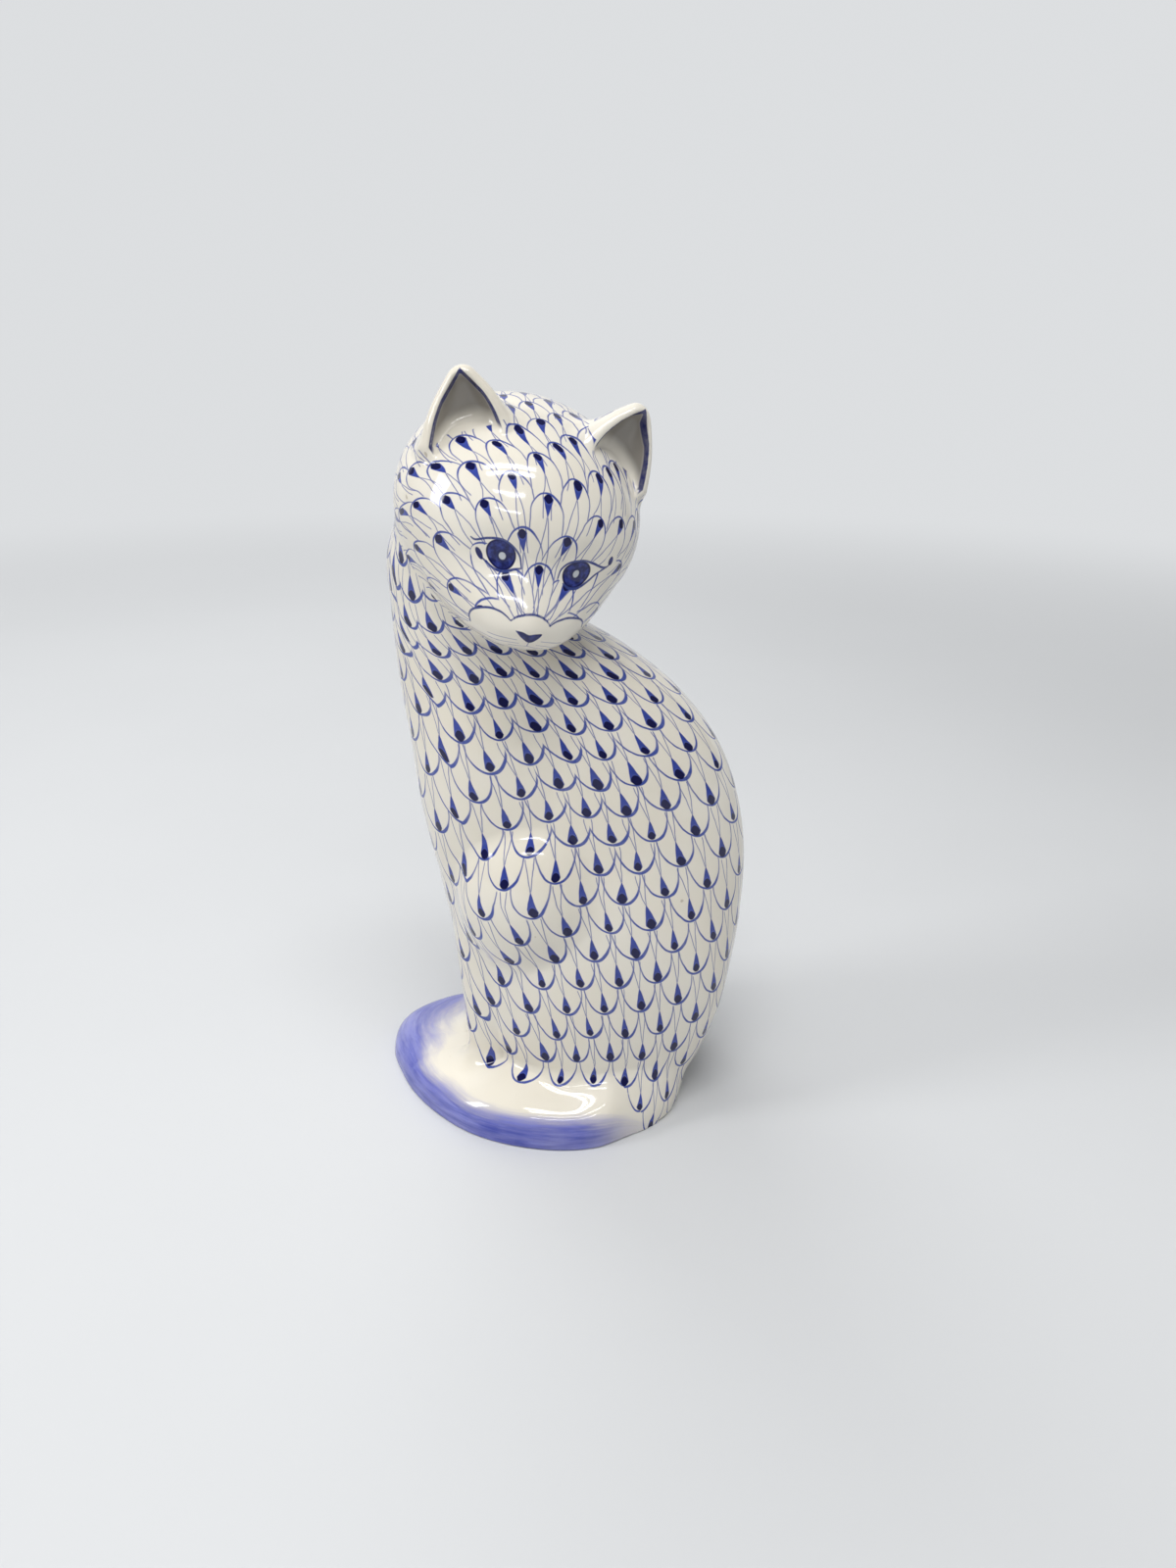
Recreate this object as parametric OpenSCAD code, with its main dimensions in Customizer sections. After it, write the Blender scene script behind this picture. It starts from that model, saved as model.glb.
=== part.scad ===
// Seated cat figurine in slip-cast porcelain, luted together from hollow castings.
// Millimetres. +Z is up, the chest faces -Y and the left flank faces +X.
// The origin lies on the resting plane, under the middle of the body.

/* [Main sizes] */
// Height of the body from the table up to the cheek
body_height = 225; // [195:1:255]
// Width of the body across the haunches
body_width = 81; // [70:1:95]
// Depth of the body from chest to back
body_depth = 110; // [95:1:125]
// Width of the head across the cheeks
head_width = 79; // [68:1:92]

/* [Clay wall] */
// Thickness of the cast wall
wall = 4; // [3:0.5:6]
// Film of slip left between two luted castings
slip_gap = 0.2; // [0.1:0.05:0.4]
// Extra room where the faces of two castings curve past each other
seam_slack = 0.6; // [0.3:0.05:0.8]
// Fullness of the body section, where 2 is an ellipse
fullness = 2.15; // [2:0.05:2.4]

/* [Body outline: height, chest y, back y, half width] */
// Foot ring
body_foot = [0, -37, 37, 39]; // [-45:0.5:45]
// Top of the tail
body_tail = [20, -38.5, 46, 40.5]; // [-50:0.5:50]
// Under the haunch
body_low = [45, -45, 53.5, 40.5]; // [-60:0.5:60]
// Level of the knees
body_knee = [80, -52.5, 57, 39]; // [-85:0.5:85]
// Widest part of the back
body_back = [105, -56.5, 55, 36.5]; // [-110:0.5:110]
// Under the shoulders
body_chest = [130, -60.5, 46.5, 34]; // [-135:0.5:135]
// Over the shoulders
body_shoulder = [150, -63.5, 31.5, 31.5]; // [-155:0.5:155]
// Nape
body_nape = [165, -65, 13, 29.5]; // [-170:0.5:170]
// Neck under the jaw
body_neck = [180, -66, -11, 28.5]; // [-185:0.5:185]
// Neck beside the jaw
body_jaw = [200, -66, -14, 28.5]; // [-205:0.5:205]
// Neck closing into the cheek
body_cheek = [225, -55, -20, 24]; // [-230:0.5:230]
// Sideways lean of the neck
neck_lean = -4; // [-6:0.5:4]

/* [Limbs: centre x, y, z, then radii x, y, z] */
// Shoulder mass
shoulder = [10, -30, 122, 19, 23, 40]; // [5:0.5:130]
// Foreleg
foreleg = [13, -34, 50, 12, 12, 60]; // [-40:0.5:70]
// Thigh
haunch = [18, 4, 52, 24, 42, 54]; // [0:0.5:60]
// Knee
knee = [21, -20, 82, 19.5, 26, 31]; // [-30:0.5:90]
// Hind foot
foot = [24, -18, 8, 17, 22, 14]; // [-25:0.5:30]
// How softly shoulder, foreleg, thigh, knee and foot run into the body
limb_soft = [14, 8, 8, 5, 5]; // [2:0.5:16]

/* [Head] */
// Centre of the skull
head_at = [5, -24.5, 210.5]; // [-30:0.5:215]
// Turn towards the back, nod and sideways tilt, in degrees
head_pose = [4, 25, 13]; // [-30:1:40]
// Skull radii: forward, sideways, up
skull = [42, 39.5, 33]; // [30:0.5:45]
// Height of the skull over the head's centre
skull_lift = 2.5; // [0:0.5:5]
// Cheeks: forward, height, then radii
cheeks = [12, -8, 26, 17, 20.5]; // [-12:0.5:30]
// Muzzle: forward, height, then radii
muzzle = [20, -7.5, 33, 24.5, 16]; // [-12:0.5:36]
// How softly cheeks and muzzle run into the skull
face_soft = 12; // [6:0.5:16]

/* [Face relief: sideways and upward slope, spread in degrees, height] */
// Eye sockets
socket = [0.3, 0.24, 10, -2.6]; // [-3:0.01:12]
// Eyeballs
eyeball = [0.3, 0.23, 6, 1.5]; // [-3:0.01:12]
// Brows
brow = [0.28, 0.47, 9, 0.9]; // [-3:0.01:12]
// Whisker pads
pad = [0.17, -0.2, 8, 1]; // [-3:0.01:12]
// Nose
nose = [0, -0.08, 5, 1.4]; // [-3:0.01:12]

/* [Ears: forward, sideways, up from the head's centre] */
// Outer corner of the opening
ear_outer = [7, 33, 21.5]; // [-5:0.5:35]
// Inner corner of the opening
ear_inner = [7, 13.5, 31.5]; // [-5:0.5:35]
// Tip
ear_tip = [-1.5, 28.5, 44.5]; // [-5:0.5:50]
// Depth of the ear behind its opening
ear_depth = 14; // [10:0.5:18]
// Thickness of the ear at its tip
ear_nib = 2.4; // [1.5:0.1:3.5]
// Width of the rolled rim at the root and at the tip
ear_rim = [3, 1.4]; // [1:0.1:4]
// Depth of the hollow
ear_hollow = 6; // [3:0.5:9]

/* [Tail] */
// Reach of the tail from the body's axis, from its tip under the chest to the foreleg
tail_front = [45, 53, 63, 71, 77.5, 75.5, 70.5]; // [40:0.5:85]
// Reach from the knee past the foot and the thigh to the rump
tail_flank = [64, 61, 57, 54, 50, 45.5, 41.5]; // [38:0.5:70]
// Height of the tail from its tip along the front and the flank to the rump
tail_rise = [5, 9, 11, 12.5, 14, 15, 14, 10, 5]; // [3:0.5:18]
// Height at which the tail's width is laid off from the body
tail_level = 12; // [8:0.5:16]

/* [Base] */
// Thickness of the closing plate
plate_t = 3; // [2:0.5:5]
// Bore of the vent that lets steam out in the kiln
vent_d = 8; // [5:0.5:12]
// Where the vent is, behind the middle
vent_y = 18; // [12:1:24]

/* [Hidden] */
sides = 60;
// The outline and limbs are drawn for a body 225 high, 81 wide and 110 deep, the face for a head
// 79 wide. These carry them to the main sizes.
tall = body_height / 225;
broad = body_width / 81;
deep = body_depth / 110;
big = head_width / 79;
body_stations = [
    for (s = [
        body_foot, body_tail, body_low, body_knee, body_back, body_chest,
        body_shoulder, body_nape, body_neck, body_jaw, body_cheek
    ]) [s[0] * tall, s[1] * deep, s[2] * deep, s[3] * broad]
];
lean_stations = [
    for (s = [[0, 0], [body_chest[0], 0], [body_nape[0], 0.4], [190, 1], [body_cheek[0], 0.25]])
        [s[0] * tall, s[1] * neck_lean * broad]
];
limbs = [
    for (l = [shoulder, foreleg, haunch, knee, foot])
        [l[0] * broad, l[1] * deep, l[2] * tall, l[3] * broad, l[4] * deep, l[5] * tall]
];
skull_at = [head_at[0] * broad, head_at[1] * deep, head_at[2] * tall];
// Levels between which the body's face meets the head, and the middle of the neck's mouth.
neck_low = body_shoulder[0] * tall;
neck_high = (body_cheek[0] - 1) * tall;
neck_mouth = (body_neck[0] - 2) * tall;
// Where each reach and each height of the tail lies round the body, in degrees.
reach_turns = [-154, -145, -135, -126, -114, -101, -88, -64, -47, -25, -5, 14, 28, 40];
rise_turns = [-154, -140, -125, -100, -60, -20, 5, 25, 40];
axis_share = 0.48;
white = [0.93, 0.92, 0.89];
tail_blue = [0.55, 0.58, 0.82];
biscuit = [0.86, 0.82, 0.75];

// ---- small helpers ----

// The larger of a and b, rounded over a width k where they cross.
function smooth_max(a, b, k) =
    let (h = min(1, max(0, 0.5 + 0.5 * (a - b) / k)))
    b + (a - b) * h + k * h * (1 - h);

// The first row whose key is past v, held inside the table.
function row_at(rows, v, i = 0) =
    i >= len(rows) - 2 || v < rows[i + 1][0] ? i : row_at(rows, v, i + 1);

function slope(rows, i, c) =
    let (a = max(i - 1, 0), b = min(i + 1, len(rows) - 1))
    (rows[b][c] - rows[a][c]) / (rows[b][0] - rows[a][0]);

// Column c of a table of stations, drawn as a fair curve through them.
function fair(rows, v, c) =
    let (
        x = min(max(v, rows[0][0]), rows[len(rows) - 1][0]),
        i = row_at(rows, x),
        h = rows[i + 1][0] - rows[i][0],
        t = (x - rows[i][0]) / h,
        t2 = t * t,
        t3 = t2 * t
    )
    (2 * t3 - 3 * t2 + 1) * rows[i][c] + (t3 - 2 * t2 + t) * h * slope(rows, i, c)
    + (3 * t2 - 2 * t3) * rows[i + 1][c] + (t3 - t2) * h * slope(rows, i + 1, c);

// Distance along the ray p + t d to the far side of an ellipsoid; a ray that misses falls short.
function ellipsoid_ray(p, d, c, r) =
    let (
        q = [for (i = [0:2]) (p[i] - c[i]) / r[i]],
        e = [for (i = [0:2]) d[i] / r[i]],
        a = e * e,
        b = q * e,
        disc = b * b - a * (q * q - 1)
    )
    (-b + sqrt(max(disc, 0)) - 1.2 * sqrt(max(-disc, 0))) / a;

function unit(v) = v / norm(v);

// Triangles between ring a and ring b of n points each, wound to face out.
function band(a, b, n, closed = true) =
    [for (i = [0:(closed ? n : n - 1) - 1])
        let (j = (i + 1) % n)
        each [[a * n + i, b * n + i, a * n + j], [a * n + j, b * n + i, b * n + j]]];

function flat(lists) = [for (l = lists) each l];

// ---- body surface ----

function body_axis(z) =
    let (f = fair(body_stations, z, 1), b = fair(body_stations, z, 2))
    [fair(lean_stations, z, 1), f + axis_share * (b - f), f, b];

// Adds limb i, on both sides, to the radius r found so far.
function add_limbs(r, o, d, i = 0) =
    i == len(limbs) ? r :
    let (
        l = limbs[i],
        rad = [l[3], l[4], l[5]],
        left = ellipsoid_ray(o, d, [l[0], l[1], l[2]], rad),
        right = ellipsoid_ray(o, d, [-l[0], l[1], l[2]], rad)
    )
    add_limbs(smooth_max(smooth_max(r, left, limb_soft[i]), right, limb_soft[i]), o, d, i + 1);

function body_radius(phi, z) =
    let (
        a = body_axis(z),
        w = fair(body_stations, z, 3),
        e = sin(phi) > 0 ? a[3] - a[1] : a[1] - a[2],
        r = pow(pow(abs(cos(phi)) / w, fullness) + pow(abs(sin(phi)) / e, fullness), -1 / fullness)
    )
    add_limbs(r, [a[0], a[1], z], [cos(phi), sin(phi), 0]);

// Point of the body's outer face at angle phi and height z, moved out by off.
function body_point(phi, z, off = 0) =
    let (a = body_axis(z), r = body_radius(phi, z) + off)
    [a[0] + r * cos(phi), a[1] + r * sin(phi), z];

// ---- head surface ----

head_fwd = [
    cos(head_pose[1]) * cos(head_pose[0]), cos(head_pose[1]) * sin(head_pose[0]), -sin(head_pose[1])
];
level_side = [-sin(head_pose[0]), cos(head_pose[0]), 0];
level_up = cross(head_fwd, level_side);
head_up = cos(head_pose[2]) * level_up + sin(head_pose[2]) * level_side;
head_side = cos(head_pose[2]) * level_side - sin(head_pose[2]) * level_up;

function from_head(v) = skull_at + v[0] * head_fwd + v[1] * head_side + v[2] * head_up;

relief = [
    for (s = [-1, 1])
        each [for (b = [socket, eyeball, brow, pad]) [unit([1, s * b[0], b[1]]), b[2], b[3] * big]],
    [unit([1, nose[0], nose[1]]), nose[2], nose[3] * big]
];

function relief_sum(d, i = 0) =
    i == len(relief) ? 0 :
    let (angle = acos(min(1, max(-1, d * relief[i][0]))) / relief[i][1])
    relief[i][2] * exp(-angle * angle) + relief_sum(d, i + 1);

// Distance from the head's centre to its skin along d, in the head's own axes.
function head_radius(d) =
    let (
        o = [0, 0, 0],
        m = big * cheeks,
        n = big * muzzle,
        a = ellipsoid_ray(o, d, [0, 0, skull_lift * big], skull * big),
        b = ellipsoid_ray(o, d, [m[0], 0, m[1]], [m[2], m[3], m[4]]),
        c = ellipsoid_ray(o, d, [n[0], 0, n[1]], [n[2], n[3], n[4]]),
        soft = face_soft * big
    )
    smooth_max(smooth_max(a, b, soft), c, soft) + relief_sum(d);

// Height of a point over the head's skin, negative inside it.
function over_head(p) =
    let (
        q = p - skull_at,
        v = [q * head_fwd, q * head_side, q * head_up],
        n = norm(v)
    )
    n - head_radius(v / n);

// The point on the head's skin, raised by off, that p lies over.
function onto_head(p, off) =
    let (q = p - skull_at, n = norm(q))
    skull_at + q / n * (n - over_head(p) + off);

// ---- torso ----

// The upright inner face that holds the closing plate, moved in by gap.
function plate_seat(phi, gap, z) =
    let (p = body_point(phi, 0, -wall - gap))
    [p[0], p[1], z];

// Height at which the body's face, moved in by depth, runs into the head.
function rim_height(phi, depth, lo = neck_low, hi = neck_high, i = 0) =
    i == 22 ? (lo + hi) / 2 :
    let (mid = (lo + hi) / 2)
    over_head(body_point(phi, mid, -depth)) > slip_gap
        ? rim_height(phi, depth, mid, hi, i + 1)
        : rim_height(phi, depth, lo, mid, i + 1);

module torso_casting() {
    rows_out = 42;
    rows_in = 12;
    rows_rim = 3;
    phis = [for (i = [0:sides - 1]) 360 * i / sides];
    top_out = [for (p = phis) rim_height(p, 0)];
    top_in = [for (p = phis) rim_height(p, wall)];
    outer = [
        for (k = [0:rows_out], i = [0:sides - 1])
            body_point(phis[i], top_out[i] * pow(k / rows_out, 1.25))
    ];
    rim = [
        for (k = [1:rows_rim], i = [0:sides - 1])
            let (
                t = k / (rows_rim + 1),
                a = body_point(phis[i], top_out[i]),
                b = body_point(phis[i], top_in[i], -wall)
            )
            onto_head(a + (b - a) * t, slip_gap)
    ];
    inner = [
        for (k = [0:rows_in - 1], i = [0:sides - 1])
            body_point(phis[i], plate_t + (top_in[i] - plate_t) * (1 - k / rows_in), -wall)
    ];
    seat = [for (z = [plate_t, 0], p = phis) plate_seat(p, 0, z)];
    rings = rows_out + rows_rim + rows_in + 3;
    color(white)
        polyhedron(
            points = concat(outer, rim, inner, seat),
            faces = flat([for (k = [0:rings - 1]) band(k, (k + 1) % rings, sides)]),
            convexity = 6
        );
}

// ---- head ----

module head_casting() {
    cols = 56;
    mouth = 22;
    rows_out = 38;
    rows_in = 12;
    neck = body_axis(neck_mouth);
    down = unit([neck[0], neck[1], neck_mouth] - skull_at);
    east = unit(cross(down, [0, 1, 0]));
    north = cross(east, down);
    function ray(alpha, beta) =
        cos(alpha) * down + sin(alpha) * (cos(beta) * east + sin(beta) * north);
    function skin(alpha, beta, off) =
        let (d = ray(alpha, beta))
        skull_at + d * (head_radius([d * head_fwd, d * head_side, d * head_up]) + off);
    outer = [
        for (k = [0:rows_out - 1], i = [0:cols - 1])
            skin(mouth + (180 - mouth) * k / rows_out, 360 * i / cols, 0)
    ];
    inner = [
        for (k = [rows_in - 1:-1:0], i = [0:cols - 1])
            skin(mouth + (180 - mouth) * k / rows_in, 360 * i / cols, -wall)
    ];
    crown_out = (rows_out + rows_in) * cols;
    crown_in = crown_out + 1;
    last = rows_out + rows_in - 1;
    color(white)
        polyhedron(
            points = concat(outer, inner, [skin(180, 0, 0), skin(180, 0, -wall)]),
            faces = concat(
                flat([for (k = [0:rows_out - 2]) band(k, k + 1, cols)]),
                [for (i = [0:cols - 1])
                    [(rows_out - 1) * cols + i, crown_out, (rows_out - 1) * cols + (i + 1) % cols]],
                [for (i = [0:cols - 1])
                    [crown_in, rows_out * cols + i, rows_out * cols + (i + 1) % cols]],
                flat([for (k = [rows_out:last - 1]) band(k, k + 1, cols)]),
                band(last, 0, cols)
            ),
            convexity = 6
        );
}

// ---- ears ----

// Point of an ear: side is 1 for the left ear, v runs from the root (0) to the tip (1), and q
// goes round from the outer corner (0) over the hollow (90) to the inner corner (180) and back.
function ear_point(side, v, q) =
    let (
        m = [big, side * big, big],
        l = [for (i = [0:2]) ear_outer[i] * m[i]],
        n = [for (i = [0:2]) ear_inner[i] * m[i]],
        t = [for (i = [0:2]) ear_tip[i] * m[i]],
        raw = unit(cross(t - l, n - l)),
        back = raw[0] > 0 ? -raw : raw,
        across = unit(l - n),
        left = min(max(1 - v, 0), 1),
        sink = 1 + 1.6 * min(v, 0),
        tip = sqrt(min(left / 0.12, 1)),
        rim = tip * (ear_rim[1] + (ear_rim[0] - ear_rim[1]) * left) * sink * big,
        half = norm(l - n) / 2 * (left + 0.16 * sin(180 * left)) * sink,
        depth = (ear_depth * pow(left, 0.8) + ear_nib * tip) * sink * big,
        hollow = ear_hollow * pow(left, 0.8) * tip * big,
        mid = (l + n) / 2 + (t - (l + n) / 2) * v,
        x = (half + rim) * cos(q),
        u = abs(x),
        y = sin(q) < 0 ? -depth * sin(q)
            : u > half ? -rim * sqrt(max(0, 1 - pow((u - half) / max(rim, 0.01), 2)))
            : -rim + (hollow + rim) * (1 - pow(u / max(half, 0.01), 3))
    )
    from_head(mid + across * x + back * y);

// Fraction along an ear's side line where it leaves the head.
function ear_root(side, q, lo = -0.5, hi = 0.75, i = 0) =
    i == 18 ? (lo + hi) / 2 :
    let (mid = (lo + hi) / 2)
    over_head(ear_point(side, mid, q)) > slip_gap
        ? ear_root(side, q, lo, mid, i + 1)
        : ear_root(side, q, mid, hi, i + 1);

module ear(side) {
    cols = 28;
    rows = 13;
    qs = [for (i = [0:cols - 1]) 360 * (side > 0 ? cols - i : i) / cols];
    roots = [for (q = qs) ear_root(side, q)];
    ring = [for (i = [0:cols - 1]) ear_point(side, roots[i], qs[i])];
    centre = centre_of(ring);
    under = [for (t = [0.35, 0.7], p = ring) onto_head(centre + (p - centre) * t, slip_gap)];
    shell = [
        for (k = [0:rows - 1], i = [0:cols - 1])
            let (t = 1 - pow(1 - k / rows, 1.25))
            ear_point(side, roots[i] + (1 - roots[i]) * t, qs[i])
    ];
    tip = (rows + 2) * cols;
    color(white)
        polyhedron(
            points = concat(under, shell, [ear_point(side, 1, 0), onto_head(centre, slip_gap)]),
            faces = concat(
                flat([for (k = [0:rows]) band(k, k + 1, cols)]),
                [for (i = [0:cols - 1]) [tip - cols + i, tip, tip - cols + (i + 1) % cols]],
                [for (i = [0:cols - 1]) [i, (i + 1) % cols, tip + 1]]
            ),
            convexity = 4
        );
}

function centre_of(ring) = [for (c = [0:2]) sum([for (p = ring) p[c]]) / len(ring)];
function sum(list, i = 0) = i == len(list) ? 0 : list[i] + sum(list, i + 1);

module ear_left() ear(1);
module ear_right() ear(-1);

// ---- tail ----

tail_reach = [
    for (i = [0:len(reach_turns) - 1]) [reach_turns[i], concat(tail_front, tail_flank)[i]]
];
tail_height = [for (i = [0:len(rise_turns) - 1]) [rise_turns[i], tail_rise[i]]];
tail_tip = reach_turns[0];
tail_root = reach_turns[len(reach_turns) - 1];

// Point of the tail's upper face at angle th: s runs from its outer edge (0) up to the body (1).
function tail_point(th, s) =
    let (
        reach = fair(tail_reach, th, 1) * norm([cos(th) * broad, sin(th) * deep]),
        high = fair(tail_height, th, 1),
        near = body_point(th, tail_level, slip_gap + seam_slack),
        span = max(reach - norm([near[0], near[1]]), 1),
        x = span * pow(cos(90 * s), 0.7),
        fillet = 0.5 * high * exp(-pow(x / (0.14 * span + 2.5), 1.3)) * sin(90 * s),
        z = high * pow(sin(90 * s), 0.75) + fillet,
        wallp = body_point(th, z, slip_gap + seam_slack),
        r = norm([wallp[0], wallp[1]]),
        out = r + x / span * (reach - r)
    )
    [wallp[0] / r * out, wallp[1] / r * out, z];

module tail_casting() {
    sections = 50;
    across = 9;
    down = 9;
    n = across + down;
    points = [
        for (k = [0:sections])
            let (
                th = tail_tip + 0.5 + (tail_root - tail_tip - 1) * k / sections,
                top = tail_point(th, 1)[2]
            )
            each concat(
                [for (i = [down - 1:-1:1])
                    body_point(th, top * (1 - i / (down - 1)), slip_gap + seam_slack)],
                [for (i = [across:-1:0]) tail_point(th, i / across)]
            )
    ];
    color(tail_blue)
        polyhedron(
            points = points,
            faces = concat(
                flat([for (k = [0:sections - 1]) band(k, k + 1, n)]),
                [[for (i = [0:n - 1]) i]],
                [[for (i = [n - 1:-1:0]) sections * n + i]]
            ),
            convexity = 6
        );
}

// ---- base plate ----

module base_plate() {
    outline = [
        for (i = [0:sides - 1])
            let (p = plate_seat(360 * i / sides, slip_gap, 0))
            [p[0], p[1]]
    ];
    color(biscuit)
        difference() {
            linear_extrude(height = plate_t)
                polygon(outline);
            translate([0, vent_y, -1])
                cylinder(h = plate_t + 2, d = vent_d, $fn = 96);
        }
}

torso_casting();
head_casting();
ear_left();
ear_right();
tail_casting();
base_plate();
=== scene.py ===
"""A seated porcelain cat, hollow cast and painted with a cobalt scale net.

Builds the glazed surfaces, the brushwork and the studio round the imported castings.
"""

import math

import bpy
import numpy as np
from mathutils import Matrix, Vector


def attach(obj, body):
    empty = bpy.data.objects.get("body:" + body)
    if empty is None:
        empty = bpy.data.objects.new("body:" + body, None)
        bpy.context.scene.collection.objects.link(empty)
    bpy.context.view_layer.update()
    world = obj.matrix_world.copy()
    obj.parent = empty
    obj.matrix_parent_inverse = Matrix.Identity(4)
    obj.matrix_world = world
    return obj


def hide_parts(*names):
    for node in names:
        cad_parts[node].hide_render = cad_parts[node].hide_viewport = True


bl_info = {
    "name": "Porcelain Cat",
    "version": (1, 0, 0),
    "blender": (4, 5, 0),
    "location": "3D View > Sidebar > Porcelain",
    "description": "Makes a hollow-cast porcelain cat with a painted scale net",
    "category": "Add Mesh",
}

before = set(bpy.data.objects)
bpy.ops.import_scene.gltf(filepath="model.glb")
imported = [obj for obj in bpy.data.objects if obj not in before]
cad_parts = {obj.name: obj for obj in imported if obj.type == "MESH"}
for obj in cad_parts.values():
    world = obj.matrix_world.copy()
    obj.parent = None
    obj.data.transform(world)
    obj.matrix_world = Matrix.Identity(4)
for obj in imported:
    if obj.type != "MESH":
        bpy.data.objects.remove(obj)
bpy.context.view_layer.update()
MM = 0.001

# ---- sizes of the cast forms, in millimetres ----

# height, chest y, back y, half width
BODY = np.array([
    [0, -37, 37, 39],
    [20, -38.5, 46, 40.5],
    [45, -45, 53.5, 40.5],
    [80, -52.5, 57, 39],
    [105, -56.5, 55, 36.5],
    [130, -60.5, 46.5, 34],
    [150, -63.5, 31.5, 31.5],
    [165, -65, 13, 29.5],
    [180, -66, -11, 28.5],
    [200, -66, -14, 28.5],
    [225, -55, -20, 24],
], float)
# height, x of the body's axis
LEAN = np.array([[0, 0], [130, 0], [165, -1.6], [190, -4], [225, -1]], float)
# where the axis stands between chest and back, and how square a section of the body is (2 is an ellipse)
AXIS_SHARE = 0.48
FULLNESS = 2.15
WALL = 4.0
# shoulder, foreleg, haunch, knee, paw and the flare at the foot: centre, radii, softness
LIMBS = [
    ((10, -30, 122), (19, 23, 40), 14),
    ((13, -34, 50), (12, 12, 60), 8),
    ((18, 4, 52), (24, 42, 54), 8),
    ((21, -20, 86), (23.2, 27, 32), 3),
    ((24, -18, 8), (17, 22, 14), 5),
    ((22, 8, 6), (24, 24, 22), 6),
]
HEAD_AT = np.array([5, -24.5, 210.5])
TURN, NOD, TILT = math.radians(4), math.radians(25), math.radians(13)
# skull, cheeks and muzzle in the head's own axes: centre, radii, softness
SKULL = [
    ((0, 0, 2.5), (42, 39.5, 33), 0),
    ((12, 0, -8), (26, 17, 20.5), 12),
    ((20, 0, -7.5), (33, 24.5, 16), 12),
]
# sockets, eyes, brows and whisker pads: sideways and up from forward, spread in degrees, height
RELIEF = [
    (0.3, 0.24, 10, -2.6),
    (0.3, 0.23, 6, 1.5),
    (0.28, 0.47, 9, 0.9),
    (0.17, -0.2, 8, 1.0),
]
NOSE = (0, -0.08, 5, 1.4)
# the corners of an ear's opening, in the head's own axes
EAR_OUTER = np.array([7, 33, 21.5])
EAR_INNER = np.array([7, 13.5, 31.5])
EAR_TIP = np.array([-1.4, 28.6, 43.9])
# depth behind the opening, depth of its hollow, and the rim's width at the root and at the tip
EAR_DEPTH, EAR_HOLLOW, EAR_RIM = 14.0, 6.5, (3.3, 2.6)
# how tall an ear stands over its root, and the shares of that between which its section is drawn
EAR_RISE, EAR_LOW, EAR_HIGH = 20.0, -0.45, 0.93
# degrees round the body, from the tip to the root: how far out the tail reaches, and how high it is
TAIL_REACH = np.array([
    [-154, 45], [-145, 53], [-135, 63], [-126, 71], [-114, 77.5], [-101, 75.5], [-88, 70.5],
    [-64, 64], [-47, 61], [-25, 57], [-5, 54], [14, 50], [28, 45.5], [40, 41.5],
], float)
TAIL_RISE = np.array([
    [-154, 5], [-140, 9], [-125, 11], [-100, 12.5], [-60, 14], [-20, 15], [5, 14], [25, 10], [40, 5],
], float)
# width over which the head runs into the body, and an ear into the head in front and behind
SEAM_SOFT = 4.0
EAR_SOFT = (3.0, 7.5)
# columns of scales round the body
COLUMNS = 18
# rows of the body's mesh, and the height of its first row over the foot
BODY_ROWS = 236
FOOT_EDGE = 1.0
# points round the head's mesh; how far the nose is from its middle, and the degrees that are close set
HEAD_COLUMNS = 480
NOSE_REACH, FACE_ANGLE = 47, 48
# spacing of the ears' mesh
EAR_STEP = 0.55
# rings of the foot, from the seat of the closing plate outwards: offset, height, normal out and up
FOOT_RINGS = [
    (-WALL, 3.0, -1, 0),
    (-WALL, 0.0, -1, 0),
    (-0.9, 0.0, 0, -1),
    (-0.35, 0.2, 0.6, -0.8),
    (-0.05, 0.6, 0.95, -0.3),
]
# light of the bare backdrop, far from the cat
GLOW = (0.72, 0.735, 0.75, 1)

# ---- settings a user would change ----


class PORCELAIN_PG_paint(bpy.types.PropertyGroup):
    """Colours of the glaze, the brushwork and the painted shade in the ear hollows."""

    glaze: bpy.props.FloatVectorProperty(
        name="Glaze", description="Colour of the bare glazed porcelain",
        default=(0.785, 0.748, 0.665), subtype="COLOR", size=3, min=0, max=1)
    line: bpy.props.FloatVectorProperty(
        name="Line", description="Cobalt of the fine brush lines",
        default=(0.045, 0.075, 0.32), subtype="COLOR", size=3, min=0, max=1)
    wedge: bpy.props.FloatVectorProperty(
        name="Wedge", description="Thinner cobalt of the wedge in each scale",
        default=(0.035, 0.06, 0.33), subtype="COLOR", size=3, min=0, max=1)
    dot: bpy.props.FloatVectorProperty(
        name="Dot", description="Dense cobalt of the dots",
        default=(0.0005, 0.001, 0.05), subtype="COLOR", size=3, min=0, max=1)
    wash: bpy.props.FloatVectorProperty(
        name="Wash", description="Thin cobalt wash of the tail",
        default=(0.075, 0.095, 0.45), subtype="COLOR", size=3, min=0, max=1)
    # a thin grey-brown wash that also stands for painted shade in the ear hollows
    hollow: bpy.props.FloatVectorProperty(
        name="Ear hollow", description="Grey-brown wash and painted shade inside the ears",
        default=(0.20, 0.182, 0.16), subtype="COLOR", size=3, min=0, max=1)
    biscuit: bpy.props.FloatVectorProperty(
        name="Biscuit", description="Unglazed porcelain of the foot",
        default=(0.70, 0.65, 0.55), subtype="COLOR", size=3, min=0, max=1)


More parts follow.
